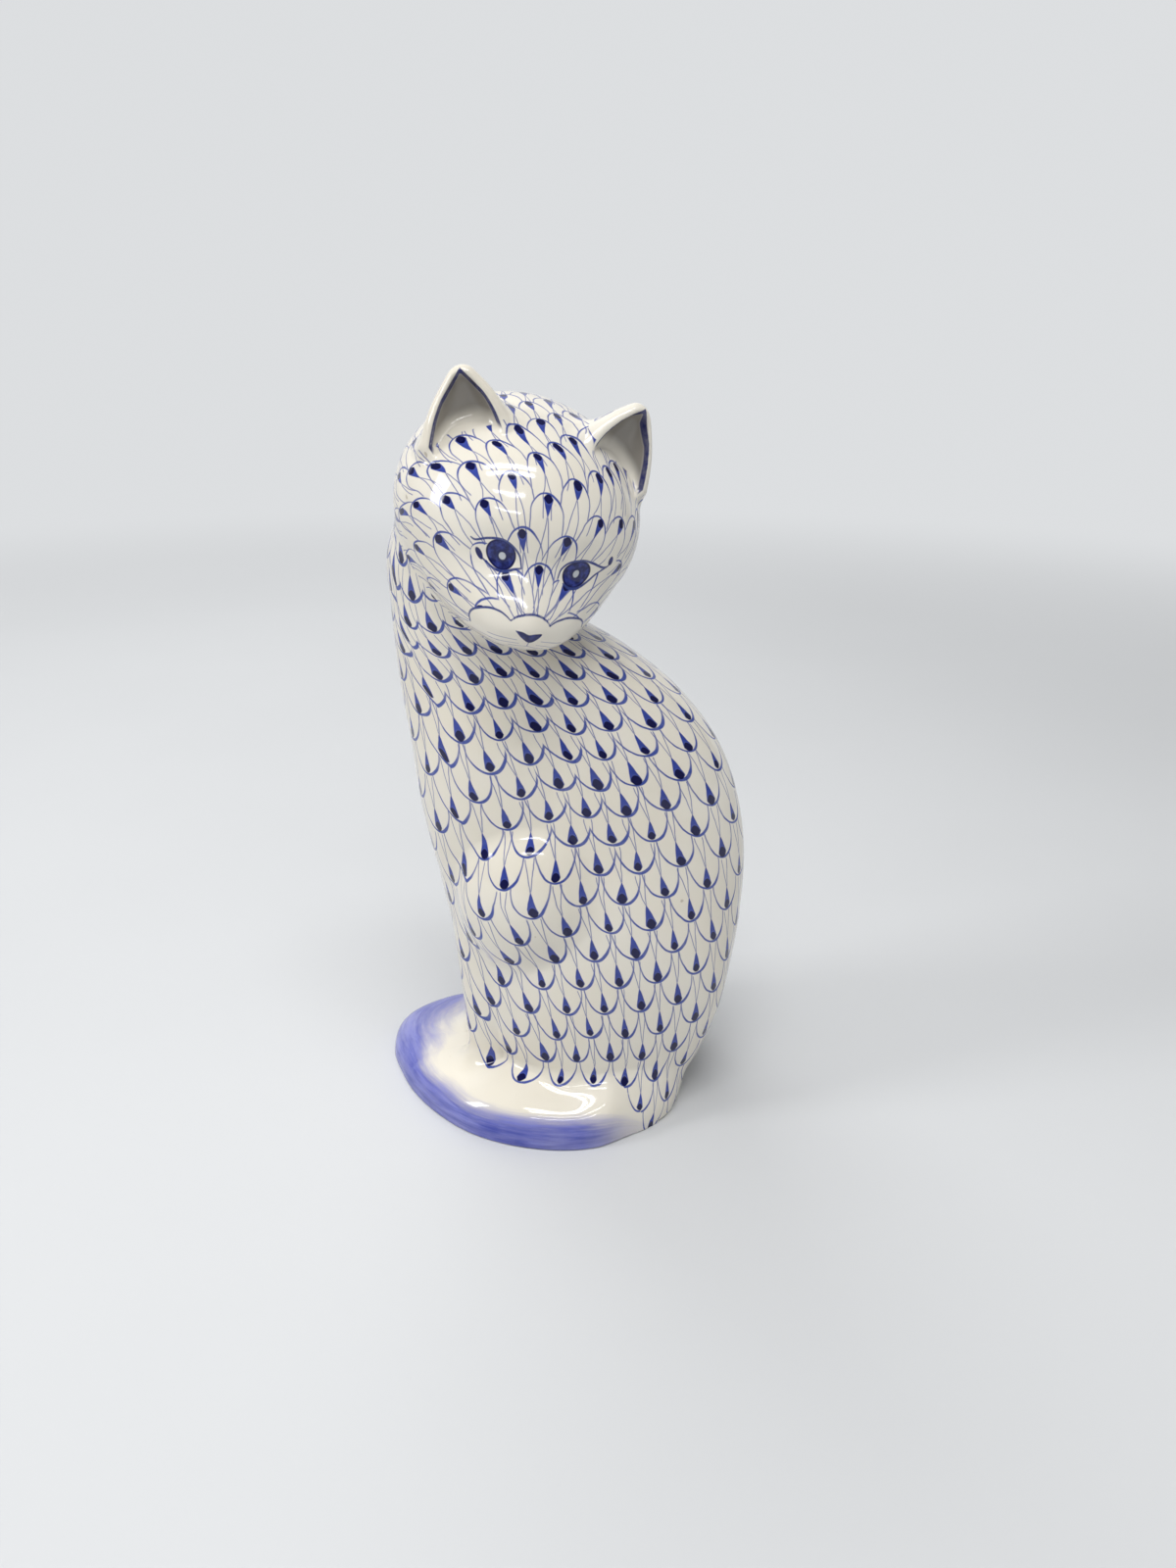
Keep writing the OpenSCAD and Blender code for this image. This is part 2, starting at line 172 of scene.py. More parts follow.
class PORCELAIN_PG_form(bpy.types.PropertyGroup):
    """Fineness of the surfaces and the size of the painted scales."""

    row_pitch: bpy.props.FloatProperty(
        name="Scale rows", description="Distance between rows of scales",
        default=0.0101, min=0.006, max=0.016, unit="LENGTH", subtype="DISTANCE")
    around: bpy.props.IntProperty(
        name="Columns of mesh", description="Points round the body", default=252, min=60, max=720)
    face_step: bpy.props.FloatProperty(
        name="Face step", description="Spacing of the mesh over the face",
        default=0.00036, min=0.0002, max=0.002, unit="LENGTH", subtype="DISTANCE")


class PORCELAIN_PG_studio(bpy.types.PropertyGroup):
    """The table, the lamps and the camera."""

    eye: bpy.props.FloatVectorProperty(
        name="Camera", description="Where the camera stands",
        default=(0.3879, -0.0408, 0.264), subtype="XYZ", unit="LENGTH", size=3)
    pitch: bpy.props.FloatProperty(
        name="Look down", description="How far the camera looks down",
        default=math.radians(20.85), unit="ROTATION", subtype="ANGLE")
    heading: bpy.props.FloatProperty(
        name="Heading", description="Direction the camera looks in, from +X",
        default=math.radians(174), unit="ROTATION", subtype="ANGLE")
    roll: bpy.props.FloatProperty(
        name="Roll", description="Lean of the camera",
        default=math.radians(0.5), unit="ROTATION", subtype="ANGLE")
    lens: bpy.props.FloatProperty(
        name="Lens", description="Focal length in millimetres", default=27.0, min=10, max=200)
    table: bpy.props.FloatVectorProperty(
        name="Table", description="Colour of the floor and backdrop",
        default=(0.62, 0.63, 0.64), subtype="COLOR", size=3, min=0, max=1)


# ---- shared curves and blends ----


def smooth_max(a, b, k):
    """The larger of two, rounded over a width k where they cross."""
    k = np.maximum(k, 1e-6)
    h = np.clip(0.5 + 0.5 * (a - b) / k, 0, 1)
    return b + (a - b) * h + k * h * (1 - h)


def fair(rows, v, c):
    """Column c of a table of stations as a fair curve."""
    x, y = rows[:, 0], rows[:, c]
    n = len(x)
    lo, hi = np.maximum(np.arange(n) - 1, 0), np.minimum(np.arange(n) + 1, n - 1)
    m = (y[hi] - y[lo]) / (x[hi] - x[lo])
    v = np.clip(v, x[0], x[-1])
    i = np.clip(np.searchsorted(x, v, side="right") - 1, 0, n - 2)
    h = x[i + 1] - x[i]
    t = (v - x[i]) / h
    return ((2 * t**3 - 3 * t**2 + 1) * y[i] + (t**3 - 2 * t**2 + t) * h * m[i]
            + (3 * t**2 - 2 * t**3) * y[i + 1] + (t**3 - t**2) * h * m[i + 1])


def ellipsoid_ray(p, d, centre, radii):
    """Distance along p + t d to the far side of an ellipsoid."""
    q = (p - np.array(centre, float)) / np.array(radii, float)
    e = d / np.array(radii, float)
    a, b, c = (e * e).sum(-1), (q * e).sum(-1), (q * q).sum(-1) - 1
    disc = b * b - a * c
    return (-b + np.sqrt(np.maximum(disc, 0)) - 1.2 * np.sqrt(np.maximum(-disc, 0))) / a


def body_axis(z):
    """Where the body's axis stands at a height, and its chest and back there."""
    chest, back = fair(BODY, z, 1), fair(BODY, z, 2)
    return fair(LEAN, z, 1), chest + AXIS_SHARE * (back - chest), chest, back


def body_radius(phi, z):
    """Distance from the axis to the body's skin, with the limbs run in softly."""
    cx, cy, chest, back = body_axis(z)
    s, c = np.sin(phi), np.cos(phi)
    reach = np.where(s > 0, back - cy, cy - chest)
    r = (np.abs(c / fair(BODY, z, 3))**FULLNESS + np.abs(s / reach)**FULLNESS)**(-1 / FULLNESS)
    o = np.stack([cx, cy, z], -1)
    d = np.stack([c, s, 0 * z], -1)
    for centre, radii, soft in LIMBS:
        for side in (1, -1):
            spot = (centre[0] * side, centre[1], centre[2])
            r = smooth_max(r, ellipsoid_ray(o, d, spot, radii), soft)
    return r


def body_point(phi, z, off=0.0):
    """A point of the body's skin, or off millimetres outside it."""
    phi, z = np.broadcast_arrays(np.asarray(phi, float), np.asarray(z, float))
    cx, cy, _, _ = body_axis(z)
    r = body_radius(phi, z) + off
    return np.stack([cx + r * np.cos(phi), cy + r * np.sin(phi), z], -1)


def over_body(p):
    """Height of a point over the body's skin, closed off inside the head."""
    z = p[..., 2]
    cx, cy, _, _ = body_axis(z)
    dx, dy = p[..., 0] - cx, p[..., 1] - cy
    gap = np.hypot(dx, dy) - body_radius(np.arctan2(dy, dx), z)
    return gap + 1.2 * np.maximum(z - 221, 0)


FORWARD = np.array([math.cos(NOD) * math.cos(TURN), math.cos(NOD) * math.sin(TURN), -math.sin(NOD)])
LEVEL = np.array([-math.sin(TURN), math.cos(TURN), 0.0])
RISE = np.cross(FORWARD, LEVEL)
UPWARD = math.cos(TILT) * RISE + math.sin(TILT) * LEVEL
SIDEWAYS = math.cos(TILT) * LEVEL - math.sin(TILT) * RISE


def unit(v):
    """Vectors brought to length 1."""
    v = np.asarray(v, float)
    return v / np.linalg.norm(v, axis=-1, keepdims=True)


# the way that the head's rows of scales are centred on, and the way up from it
NET_AXIS, NET_RISE = unit((1, 0, -0.1)), unit((0.1, 0, 1))


def head_radius(d):
    """Distance from the head's centre to its skin along d, in the head's own axes."""
    r = None
    for centre, radii, soft in SKULL:
        t = ellipsoid_ray(np.zeros(3), d, centre, radii)
        r = t if r is None else smooth_max(r, t, soft)
    spots = [(s * a, b, w, h) for a, b, w, h in RELIEF for s in (-1, 1)] + [NOSE]
    for a, b, spread, height in spots:
        angle = np.degrees(np.arccos(np.clip(d @ unit((1, a, b)), -1, 1))) / spread
        r = r + height * np.exp(-angle * angle)
    return r


def from_head(q):
    """Points in the head's own axes (forward, sideways, up) as points of the whole cat."""
    return HEAD_AT + q[..., 0:1] * FORWARD + q[..., 1:2] * SIDEWAYS + q[..., 2:3] * UPWARD


def into_head(p):
    """Points of the whole cat in the head's own axes."""
    q = p - HEAD_AT
    return np.stack([q @ FORWARD, q @ SIDEWAYS, q @ UPWARD], -1)


def over_head(p):
    """Height of a point over the head's skin."""
    q = into_head(p)
    n = np.linalg.norm(q, axis=-1)
    return n - head_radius(q / np.maximum(n, 1e-6)[..., None])


def over_cat(p):
    """Height over body and head as one softly joined form."""
    return -smooth_max(-over_body(p), -over_head(p), SEAM_SOFT)


def gradient(field, p, h=0.02):
    """Slope of a field at points, from small steps of h."""
    steps = np.eye(3) * h
    return np.stack([(field(p + s) - field(p - s)) / (2 * h) for s in steps], -1)


def settle(field, p, rounds=4):
    """Moves points along the field's slope onto its zero."""
    for _ in range(rounds):
        g = gradient(field, p)
        p = p - (field(p) / np.maximum((g * g).sum(-1), 1e-6))[..., None] * g
    return p


def rim_height(phi):
    """Height at which the body's face runs into the head, round the neck."""
    lo, hi = np.full_like(phi, 150.0), np.full_like(phi, 221.0)
    for _ in range(26):
        mid = (lo + hi) / 2
        out = over_head(body_point(phi, mid)) > 0
        lo, hi = np.where(out, mid, lo), np.where(out, hi, mid)
    return (lo + hi) / 2


# ---- meshes ----


def grid_quads(rows, cols, closed=True):
    """Quads of a grid of points, closed round its columns or open."""
    j, i = np.mgrid[0:rows - 1, 0:cols if closed else cols - 1]
    n = (i + 1) % cols
    return np.stack([j * cols + i, j * cols + n, (j + 1) * cols + n, (j + 1) * cols + i], -1).reshape(-1, 4)


def cast_skin(field, low, high, step):
    """Points and outward quads on a field's zero inside a box."""
    spots = np.stack(np.meshgrid(*(np.arange(a, b, step) for a, b in zip(low, high)), indexing="ij"), -1)
    f = field(spots)
    size = np.array(f.shape) - 1
    total, hits = np.zeros((*size, 3)), np.zeros(tuple(size))

    def part(start, count):
        return tuple(slice(a, a + n) for a, n in zip(start, count))

    for axis, u, w in ((0, 1, 2), (1, 2, 0), (2, 0, 1)):
        ahead = np.eye(3, dtype=int)[axis]
        for du, dw in ((0, 0), (0, 1), (1, 0), (1, 1)):
            start = np.zeros(3, int)
            start[[u, w]] = du, dw
            a, b = part(start, size), part(start + ahead, size)
            cross = (f[a] < 0) != (f[b] < 0)
            t = f[a] / np.where(cross, f[a] - f[b], 1) * step
            total += np.where(cross[..., None], spots[a] + t[..., None] * ahead, 0)
            hits += cross
    full = hits > 0
    index = np.full(tuple(size), -1)
    index[full] = np.arange(full.sum())
    quads = []
    for axis, u, w in ((0, 1, 2), (1, 2, 0), (2, 0, 1)):
        start, count = np.zeros(3, int), size.copy()
        start[[u, w]] = 1
        count[[u, w]] -= 1
        a, b = f[part(start, count)] < 0, f[part(start + np.eye(3, dtype=int)[axis], count)] < 0
        four = []
        for du, dw in ((1, 1), (0, 1), (0, 0), (1, 0)):
            back = start.copy()
            back[[u, w]] -= du, dw
            four.append(index[part(back, count)])
        four = np.stack(four, -1)
        quads += [four[a & ~b], four[~a & b][:, ::-1]]
    quads = np.concatenate(quads)
    return total[full] / hits[full][:, None], quads[(quads >= 0).all(1)]


def relax(points, quads, share):
    """Moves each point towards the middle of its neighbours."""
    a, b = quads.ravel(), np.roll(quads, -1, 1).ravel()
    total, count = np.zeros_like(points), np.zeros(len(points))
    for here, there in ((a, b), (b, a)):
        for k in range(3):
            total[:, k] += np.bincount(here, points[there, k], len(points))
        count += np.bincount(here, minlength=len(points))
    return points + (total / np.maximum(count, 1)[:, None] - points) * share


def face_ways(points, quads):
    """Outward way at each point of a mesh, from the faces round it."""
    a, b, c, d = (points[quads[:, k]] for k in range(4))
    way = np.cross(c - a, d - b)
    total = np.zeros_like(points)
    for k in range(4):
        for n in range(3):
            total[:, n] += np.bincount(quads[:, k], way[:, n], len(points))
    return total / np.maximum(np.linalg.norm(total, axis=-1, keepdims=True), 1e-12)


def skin(name, points, faces, normals=None, corners=None, values=None):
    """A smooth mesh in metres, with corner vectors and point values for its paint."""
    mesh = bpy.data.meshes.new(name)
    mesh.from_pydata((points * MM).tolist(), [], faces if isinstance(faces, list) else faces.tolist())
    mesh.update()
    mesh.polygons.foreach_set("use_smooth", [True] * len(mesh.polygons))
    for label, data in (corners or {}).items():
        layer = mesh.attributes.new(label, "FLOAT_VECTOR", "CORNER")
        layer.data.foreach_set("vector", np.asarray(data, np.float32).ravel())
    for label, data in (values or {}).items():
        layer = mesh.attributes.new(label, "FLOAT", "POINT")
        layer.data.foreach_set("value", np.asarray(data, np.float32).ravel())
    if normals is not None:
        mesh.normals_split_custom_set_from_vertices(unit(normals).tolist())
    piece = bpy.data.objects.new(name, mesh)
    bpy.context.scene.collection.objects.link(piece)
    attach(piece, "root")
    return piece


def run_length(points):
    """Distance along each column of a grid of points, from its first row."""
    steps = np.linalg.norm(np.diff(points, axis=0), axis=-1)
    return np.concatenate([np.zeros((1,) + steps.shape[1:]), np.cumsum(steps, 0)])


# ---- brushwork ----


def feed(tree, slot, value):
    """Links a wire or an output to an input, or sets the input to a plain value."""
    if isinstance(value, Wire):
        value = value.socket
    if isinstance(value, bpy.types.NodeSocket):
        tree.links.new(value, slot)
    else:
        slot.default_value = value


def add_node(tree, kind, values=(), **settings):
    """Adds a node with its own settings, and feeds its inputs by order or by name."""
    node = tree.nodes.new("ShaderNode" + kind)
    for label, value in settings.items():
        setattr(node, label, value)
    for slot, value in values.items() if isinstance(values, dict) else enumerate(values):
        feed(tree, node.inputs[slot], value)
    return node


def arithmetic(kind, turned=False):
    """A method that makes one math node of a wire and other values."""
    return lambda wire, *other: wire.make(kind, *other, wire) if turned else wire.make(kind, wire, *other)


class Wire:
    """A value in a node tree that can be added, multiplied and compared."""

    def __init__(self, tree, socket):
        self.tree, self.socket = tree, socket

    def make(self, kind, *values):
        return Wire(self.tree, add_node(self.tree, "Math", values, operation=kind).outputs[0])

    __add__, __radd__ = arithmetic("ADD"), arithmetic("ADD", turned=True)
    __sub__, __rsub__ = arithmetic("SUBTRACT"), arithmetic("SUBTRACT", turned=True)
    __mul__, __rmul__ = arithmetic("MULTIPLY"), arithmetic("MULTIPLY", turned=True)
    __truediv__, __rtruediv__ = arithmetic("DIVIDE"), arithmetic("DIVIDE", turned=True)
    __pow__, __abs__ = arithmetic("POWER"), arithmetic("ABSOLUTE")
    larger, smaller = arithmetic("MAXIMUM"), arithmetic("MINIMUM")
    root, floor, ceiling = arithmetic("SQRT"), arithmetic("FLOOR"), arithmetic("CEIL")
    beyond = arithmetic("GREATER_THAN")

    def ramp(self, low, high, out_low=0.0, out_high=1.0, soft=True):
        """Runs from out_low to out_high as the value goes from low to high."""
        node = add_node(self.tree, "MapRange", (self, low, high, out_low, out_high),
                        interpolation_type="SMOOTHSTEP" if soft else "LINEAR")
        return Wire(self.tree, node.outputs[0])


def number(tree, name):
    """A point value of the mesh."""
    return Wire(tree, add_node(tree, "Attribute", attribute_name=name).outputs["Fac"])


def split(tree, socket):
    """The three values of a vector or colour."""
    return [Wire(tree, out) for out in add_node(tree, "SeparateXYZ", [socket]).outputs]


def join(tree, *parts):
    """A vector of three values."""
    return add_node(tree, "CombineXYZ", parts).outputs[0]


def chance(tree, *parts):
    """Three random values for a cell."""
    node = add_node(tree, "TexWhiteNoise", {"Vector": join(tree, *parts)}, noise_dimensions="3D")
    return split(tree, node.outputs["Color"])


def cloud(tree, vector, scale, detail=2.0, rough=0.5):
    """Soft noise from 0 to 1."""
    values = {"Vector": vector, "Scale": scale, "Detail": detail, "Roughness": rough}
    return Wire(tree, add_node(tree, "TexNoise", values).outputs["Fac"])


def place(tree):
    """Position in the piece's own space."""
    return add_node(tree, "TexCoord").outputs["Object"]


def new_group(name, inputs, outputs):
    """A node group that gives out numbers; an input with no number is a vector."""
    group = bpy.data.node_groups.new(name, "ShaderNodeTree")
    for label, value in inputs.items():
        kind = "NodeSocketVector" if value is None else "NodeSocketFloat"
        socket = group.interface.new_socket(label, in_out="INPUT", socket_type=kind)
        if value is not None:
            socket.default_value = value
    for label in outputs:
        group.interface.new_socket(label, in_out="OUTPUT", socket_type="NodeSocketFloat")
    return group, group.nodes.new("NodeGroupInput"), group.nodes.new("NodeGroupOutput")


NET_INPUTS = {
    "Net": None, "Pitch": 10.0, "Size": 1.0, "Half": 6.4, "Arch": 10.0, "Left leg": 9.0, "Right leg": 9.0,
    "First row": -99.0, "Last row": 99.0, "Press": 1.0, "Hair rows": 2.0, "Foot": 25.0, "Wander": 1.5,
}
NET_MASKS = ("Line", "Wedge", "Dot", "Ring", "Hair", "Load")


def scale_net(name, spacing):
    """Masks of one painted scale, repeated over rows; spacing holds degrees between columns by row.

    Within a scale, x runs across and y along the net from its tip, both in millimetres. Line is the
    scale's edge, Wedge and Dot the drop in its tip, Ring the thin paint round the dot, Hair the fine
    lines beyond the wedge, and Load how much cobalt the brush holds.
    """
    if name in bpy.data.node_groups:
        return bpy.data.node_groups[name]
    tree, gin, gout = new_group(name, NET_INPUTS, NET_MASKS)
    turn, v, grain = split(tree, gin.outputs["Net"])
    pitch, size, half, arch, left_leg, right_leg, first, last, heavy, trail, foot, wander = (
        Wire(tree, gin.outputs[label]) for label in list(NET_INPUTS)[1:])
    here = place(tree)
    aside = join(tree, *[w + 3.7 for w in split(tree, here)])
    sway = (cloud(tree, here, 60, 1) - 0.5) * wander + (cloud(tree, here, 330, 1) - 0.5) * 0.35
    lift = (cloud(tree, aside, 60, 1) - 0.5) * wander * 1.3 + (cloud(tree, aside, 330, 1) - 0.5) * 0.35
    turn = turn + sway / grain
    v = v + lift / pitch
    row = v.ceiling()
    most_degrees = 130.0

    def degrees(j):
        """Degrees between the columns of row j, read off the painter's table."""
        if len(spacing) == 1:
            return spacing[0][1]
        low, high = spacing[0][0], spacing[-1][0]
        node = add_node(tree, "FloatCurve", {"Value": (j - low) / (high - low)})
        curve = node.mapping.curves[0]
        points = [((k - low) / (high - low), d / most_degrees) for k, d in spacing]
        curve.points[0].location, curve.points[1].location = points[0], points[-1]
        for spot in points[1:-1]:
            curve.points.new(*spot)
        for spot in curve.points:
            spot.handle_type = "VECTOR"
        node.mapping.update()
        return Wire(tree, node.outputs[0]) * most_degrees

    def cell(j):
        """Millimetres across and beyond the tip of the nearest scale of row j, and its chances."""
        step = degrees(j)
        off = (j * 0.5) - (j * 0.5).floor()
        u = turn / step - off
        i = (u + 0.5).floor()
        spot = (i + off) * step
        # the net ends over the tail, and runs on down to the foot beside it
        lowest = last + spot.beyond(foot) + spot.beyond(foot + 10.0) + (spot * -1.0).beyond(137.0) * 2.0
        drawn = (j + 0.5).beyond(first) * lowest.beyond(j)
        return (u - i) * step * grain, (v - j) * pitch, chance(tree, i, j, 0.5), drawn

    def outline(x, y, luck, drawn):
        """How far inside the scale a spot is (under 1), and the brush line of its edge."""
        # an arch, in millimetres to its line
        h = half * (0.93 + luck[1] * 0.14)
        x = x + (luck[0] - 0.5) * 0.5
        ex, ey = x / h, ((y + arch) / arch).larger(0)
        ring = (ex * ex + ey * ey).root()
        slope = ((ex / h) * (ex / h) + (ey / arch) * (ey / arch)).root()
        away = abs((ring - 1.0) * ring / slope.larger(0.0001))
        # its two legs, and how hard the brush presses round it
        side = (x / h).ramp(-0.15, 0.15)
        leg = left_leg + (right_leg - left_leg) * side
        leg = leg * (0.85 + luck[2] * 0.3)
        fall = (y / arch + 0.85).ramp(0.0, 0.95)
        press = (x / h).ramp(-0.35, 0.55, 0.5, 1.3 + luck[0] * 0.5) * fall
        press = press * (x / h).ramp(1.02, 0.72, 0.45, 1.0)
        thick = size * (0.23 + press * heavy * (0.2 + luck[1] * 0.12))
        reach = (y / leg + 1.0).ramp(0.0, 0.1)
        tone = fall.ramp(0.0, 0.7, 0.8, 1.0)
        return ring, (away - thick).ramp(0.16, -0.12) * reach * tone * drawn

    def dab(luck):
        """Where a scale's dot lies across and along, and its radius."""
        return (luck[0] - 0.5) * 0.6, (luck[1] * 0.35 + 1.85) * size * -1.0, (1.25 + luck[2] * 0.42) * size

    def rise_of(luck):
        """How far along from the scale's tip its wedge comes to a point."""
        return (7.6 + luck[0] * 1.6) * size

    def drop(x, y, luck, drawn):
        """A wedge that narrows from the dot to its point."""
        shift, cy, r = dab(luck)
        wide = r * (1.08 + luck[1] * 0.16)
        up = (cy - y) / (cy + rise_of(luck))
        x = x - shift * (1.0 - up)
        flank = abs(x) - wide * ((1.0 - up).larger(0.0) ** 0.82)
        bowl = (x * x + (y - cy) * (y - cy) * 2.2).root() - wide
        high = up.beyond(0.0)
        return (flank * high + bowl * (1.0 - high)).ramp(0.15, -0.13) * drawn * (1.0 - up.beyond(1.0))

    def hairs(x, y, luck, drawn):
        """The pair of fine lines that runs on from the point of a wedge."""
        far = (y * -1.0) - rise_of(luck)
        ends = far.ramp(0.0, 10.0, soft=False)
        left = abs(x + ends * (1.0 + luck[1] * 0.8) + 0.12)
        right = abs(x - ends * (0.7 + luck[2] * 0.8) - 0.12)
        stop = (pitch * trail + y).ramp(0.3, 1.0)
        return (left.smaller(right) - 0.15).ramp(0.14, -0.1) * far.ramp(-0.6, 0.3) * stop * drawn

    # the scale at the spot, and those before it and after it whose brushwork reaches over
    own, before, after, far = (cell(row + n) for n in (0.0, -1.0, 1.0, 2.0))
    ring, line = outline(*own)
    ring_after, above = outline(*after)
    above = above.larger(outline(*far)[1] * ring_after.beyond(1.0))
    line = line.larger(outline(*before)[1]).larger(above * ring.beyond(1.0))

    x, y, luck, drawn = own
    shift, cy, r = dab(luck)
    px, py = x - shift, y - cy
    narrow = 1.0 + (py / r * -0.22).larger(0)
    dot = ((px * narrow) * (px * narrow) + py * py * 0.76).root() - r
    wedge = drop(*own)
    halo = (dot - 0.1).ramp(0.5, 0.0) * wedge
    wedge = wedge.larger(drop(*after))
    dot = dot.ramp(0.13, -0.13) * drawn
    hair = hairs(*own).larger(hairs(*after)).larger(hairs(*far))
    load = 0.8 + cloud(tree, here, 420, 3, 0.6) * 0.36

    for label, value in zip(NET_MASKS, (line, wedge, dot, halo, hair, load)):
        feed(tree, gout.inputs[label], value)
    return tree


def glaze_skin():
    """Slow waves and a little unevenness in a thick clear glaze."""
    name = "Glaze skin"
    if name in bpy.data.node_groups:
        return bpy.data.node_groups[name]
    masks = ("Height", "Roughness", "Tint", "Speck")
    tree, gin, gout = new_group(name, {"Depth": 1.0}, masks)
    here = place(tree)
    height = cloud(tree, here, 38, 1, 0.4) * 0.75 + cloud(tree, here, 260, 1, 0.4) * 0.05
    height = height * gin.outputs["Depth"]
    rough = 0.05 + cloud(tree, here, 90, 2) * 0.05
    tint = cloud(tree, here, 22, 3)
    speck = cloud(tree, here, 300, 0).ramp(0.86, 0.9)
    for label, value in zip(masks, (height, rough, tint, speck)):
        feed(tree, gout.inputs[label], value)
    return tree


def blend(tree, under, over, share):
    """Lays colour over on colour under; colours are sockets or tuples."""
    under, over = ((*c, 1.0) if isinstance(c, tuple) else c for c in (under, over))
    return add_node(tree, "Mix", {0: share, 6: under, 7: over}, data_type="RGBA").outputs[2]


def new_material(name):
    """An empty material with its tree and its one shader."""
    material = bpy.data.materials.new(name)
    material.use_nodes = True
    tree = material.node_tree
    tree.nodes.clear()
    shader = add_node(tree, "BsdfPrincipled")
    add_node(tree, "OutputMaterial", [shader.outputs[0]])
    return material, tree, shader


def roughen(tree, shader, height, strength, distance):
    """Bumps a shader's surface; distance in metres."""
    bump = add_node(tree, "Bump", {"Strength": strength, "Distance": distance, "Height": height})
    feed(tree, shader.inputs["Normal"], bump.outputs[0])


def glazed_material(name, paint):
    """A material under clear glaze, its tree and shader, and the colour it has where nothing is painted."""
    material, tree, shader = new_material(name)
    surface = add_node(tree, "Group", node_tree=glaze_skin())
    shader.inputs["IOR"].default_value = 1.52
    feed(tree, shader.inputs["Roughness"], surface.outputs["Roughness"])
    roughen(tree, shader, surface.outputs["Height"], 0.35, 0.0006)
    # warm white that pools a little darker, with a rare iron speck
    light = tuple(paint.glaze)
    warm = (light[0] * 0.965, light[1] * 0.945, light[2] * 0.9)
    base = blend(tree, light, warm, Wire(tree, surface.outputs["Tint"]).ramp(0.3, 0.75))
    base = blend(tree, base, (0.25, 0.17, 0.10), Wire(tree, surface.outputs["Speck"]) * 0.45)
    return material, tree, shader, base


def lay_net(tree, base, paint, name, keep):
    """Paints the body's or the head's scale net on a base colour where keep is 1."""
    spacing, shape = {"Body": (BODY_SPACING, BODY_SCALES), "Head": (HEAD_SPACING, HEAD_SCALES)}[name]
    corner = add_node(tree, "Attribute", attribute_name="net").outputs["Vector"]
    net = add_node(tree, "Group", {"Net": corner, "Pitch": number(tree, "pitch"), **shape},
                   node_tree=scale_net(name + " scale net", spacing))
    out = {label: Wire(tree, net.outputs[label]) for label in NET_MASKS}
    line, wedge = tuple(paint.line), tuple(paint.wedge)
    colour = blend(tree, base, line, out["Hair"] * out["Load"] * 0.78 * keep)
    deep = blend(tree, wedge, tuple(c * 0.7 for c in wedge), out["Load"].ramp(0.9, 1.1))
    deep = blend(tree, deep, tuple(c + 0.16 * (1 - c) for c in wedge), out["Ring"] * 0.12)
    colour = blend(tree, colour, deep, out["Wedge"] * keep)
    colour = blend(tree, colour, line, out["Line"] * out["Load"].smaller(1.0) * keep)
    return blend(tree, colour, tuple(paint.dot), out["Dot"] * keep)


# ---- places of the painted net ----


BODY_SPACING = [(0, 360 / COLUMNS)]
BODY_SCALES = {"Size": 1.0, "Half": 6.5, "Arch": 10.3, "Left leg": 15.0, "Right leg": 11.5, "Press": 0.85,
               "Last row": 0.5, "Wander": 1.8}
HEAD_SCALES = {"Size": 0.84, "Half": 5.0, "Arch": 7.4, "Left leg": 15.0, "Right leg": 19.0, "Press": 0.5,
               "First row": 0.0, "Hair rows": 2.8, "Wander": 1.2}
# row, degrees between its scales round the nose
HEAD_SPACING = [
    (-2, 50), (0, 47), (1, 38), (2, 37), (3, 36), (4, 34), (5, 30), (6, 27), (7, 25), (8, 24),
    (11, 24), (12, 30), (13, 36), (14, 45), (15, 72), (16, 120), (18, 120),
]
# degrees from the nose, row of scales, degrees the middle column leans
HEAD_ROWS = np.array([
    [0, -1.5, 2], [19.5, 0, 1.5], [33.5, 1, 0], [48, 2, -1.5], [57.5, 3, -4], [67, 4, -8],
    [74.5, 5, -13], [82.5, 6, -16], [90.5, 7, -17], [99.5, 8, -18.5], [108, 9, -20], [180, 16.2, -20],
], float)


def body_net(phi, z, run, radius):
    """Turn, distance down from the neck and millimetres a degree of the net on the body."""
    deg = np.degrees(phi)
    drift = 0.25 * np.clip(89 - z, 0, 62) * np.clip((33 - deg) / 51, 0, 1.2) * np.clip((deg + 130) / 40, 0, 1)
    return deg + 17 - drift, -(run - 18.2), np.radians(radius)


# ---- pieces ----


class PorcelainOperator(bpy.types.Operator):
    bl_options = {"REGISTER", "UNDO"}

    @property
    def paint(self):
        return bpy.context.scene.porcelain_paint

    @property
    def form(self):
        return bpy.context.scene.porcelain_form


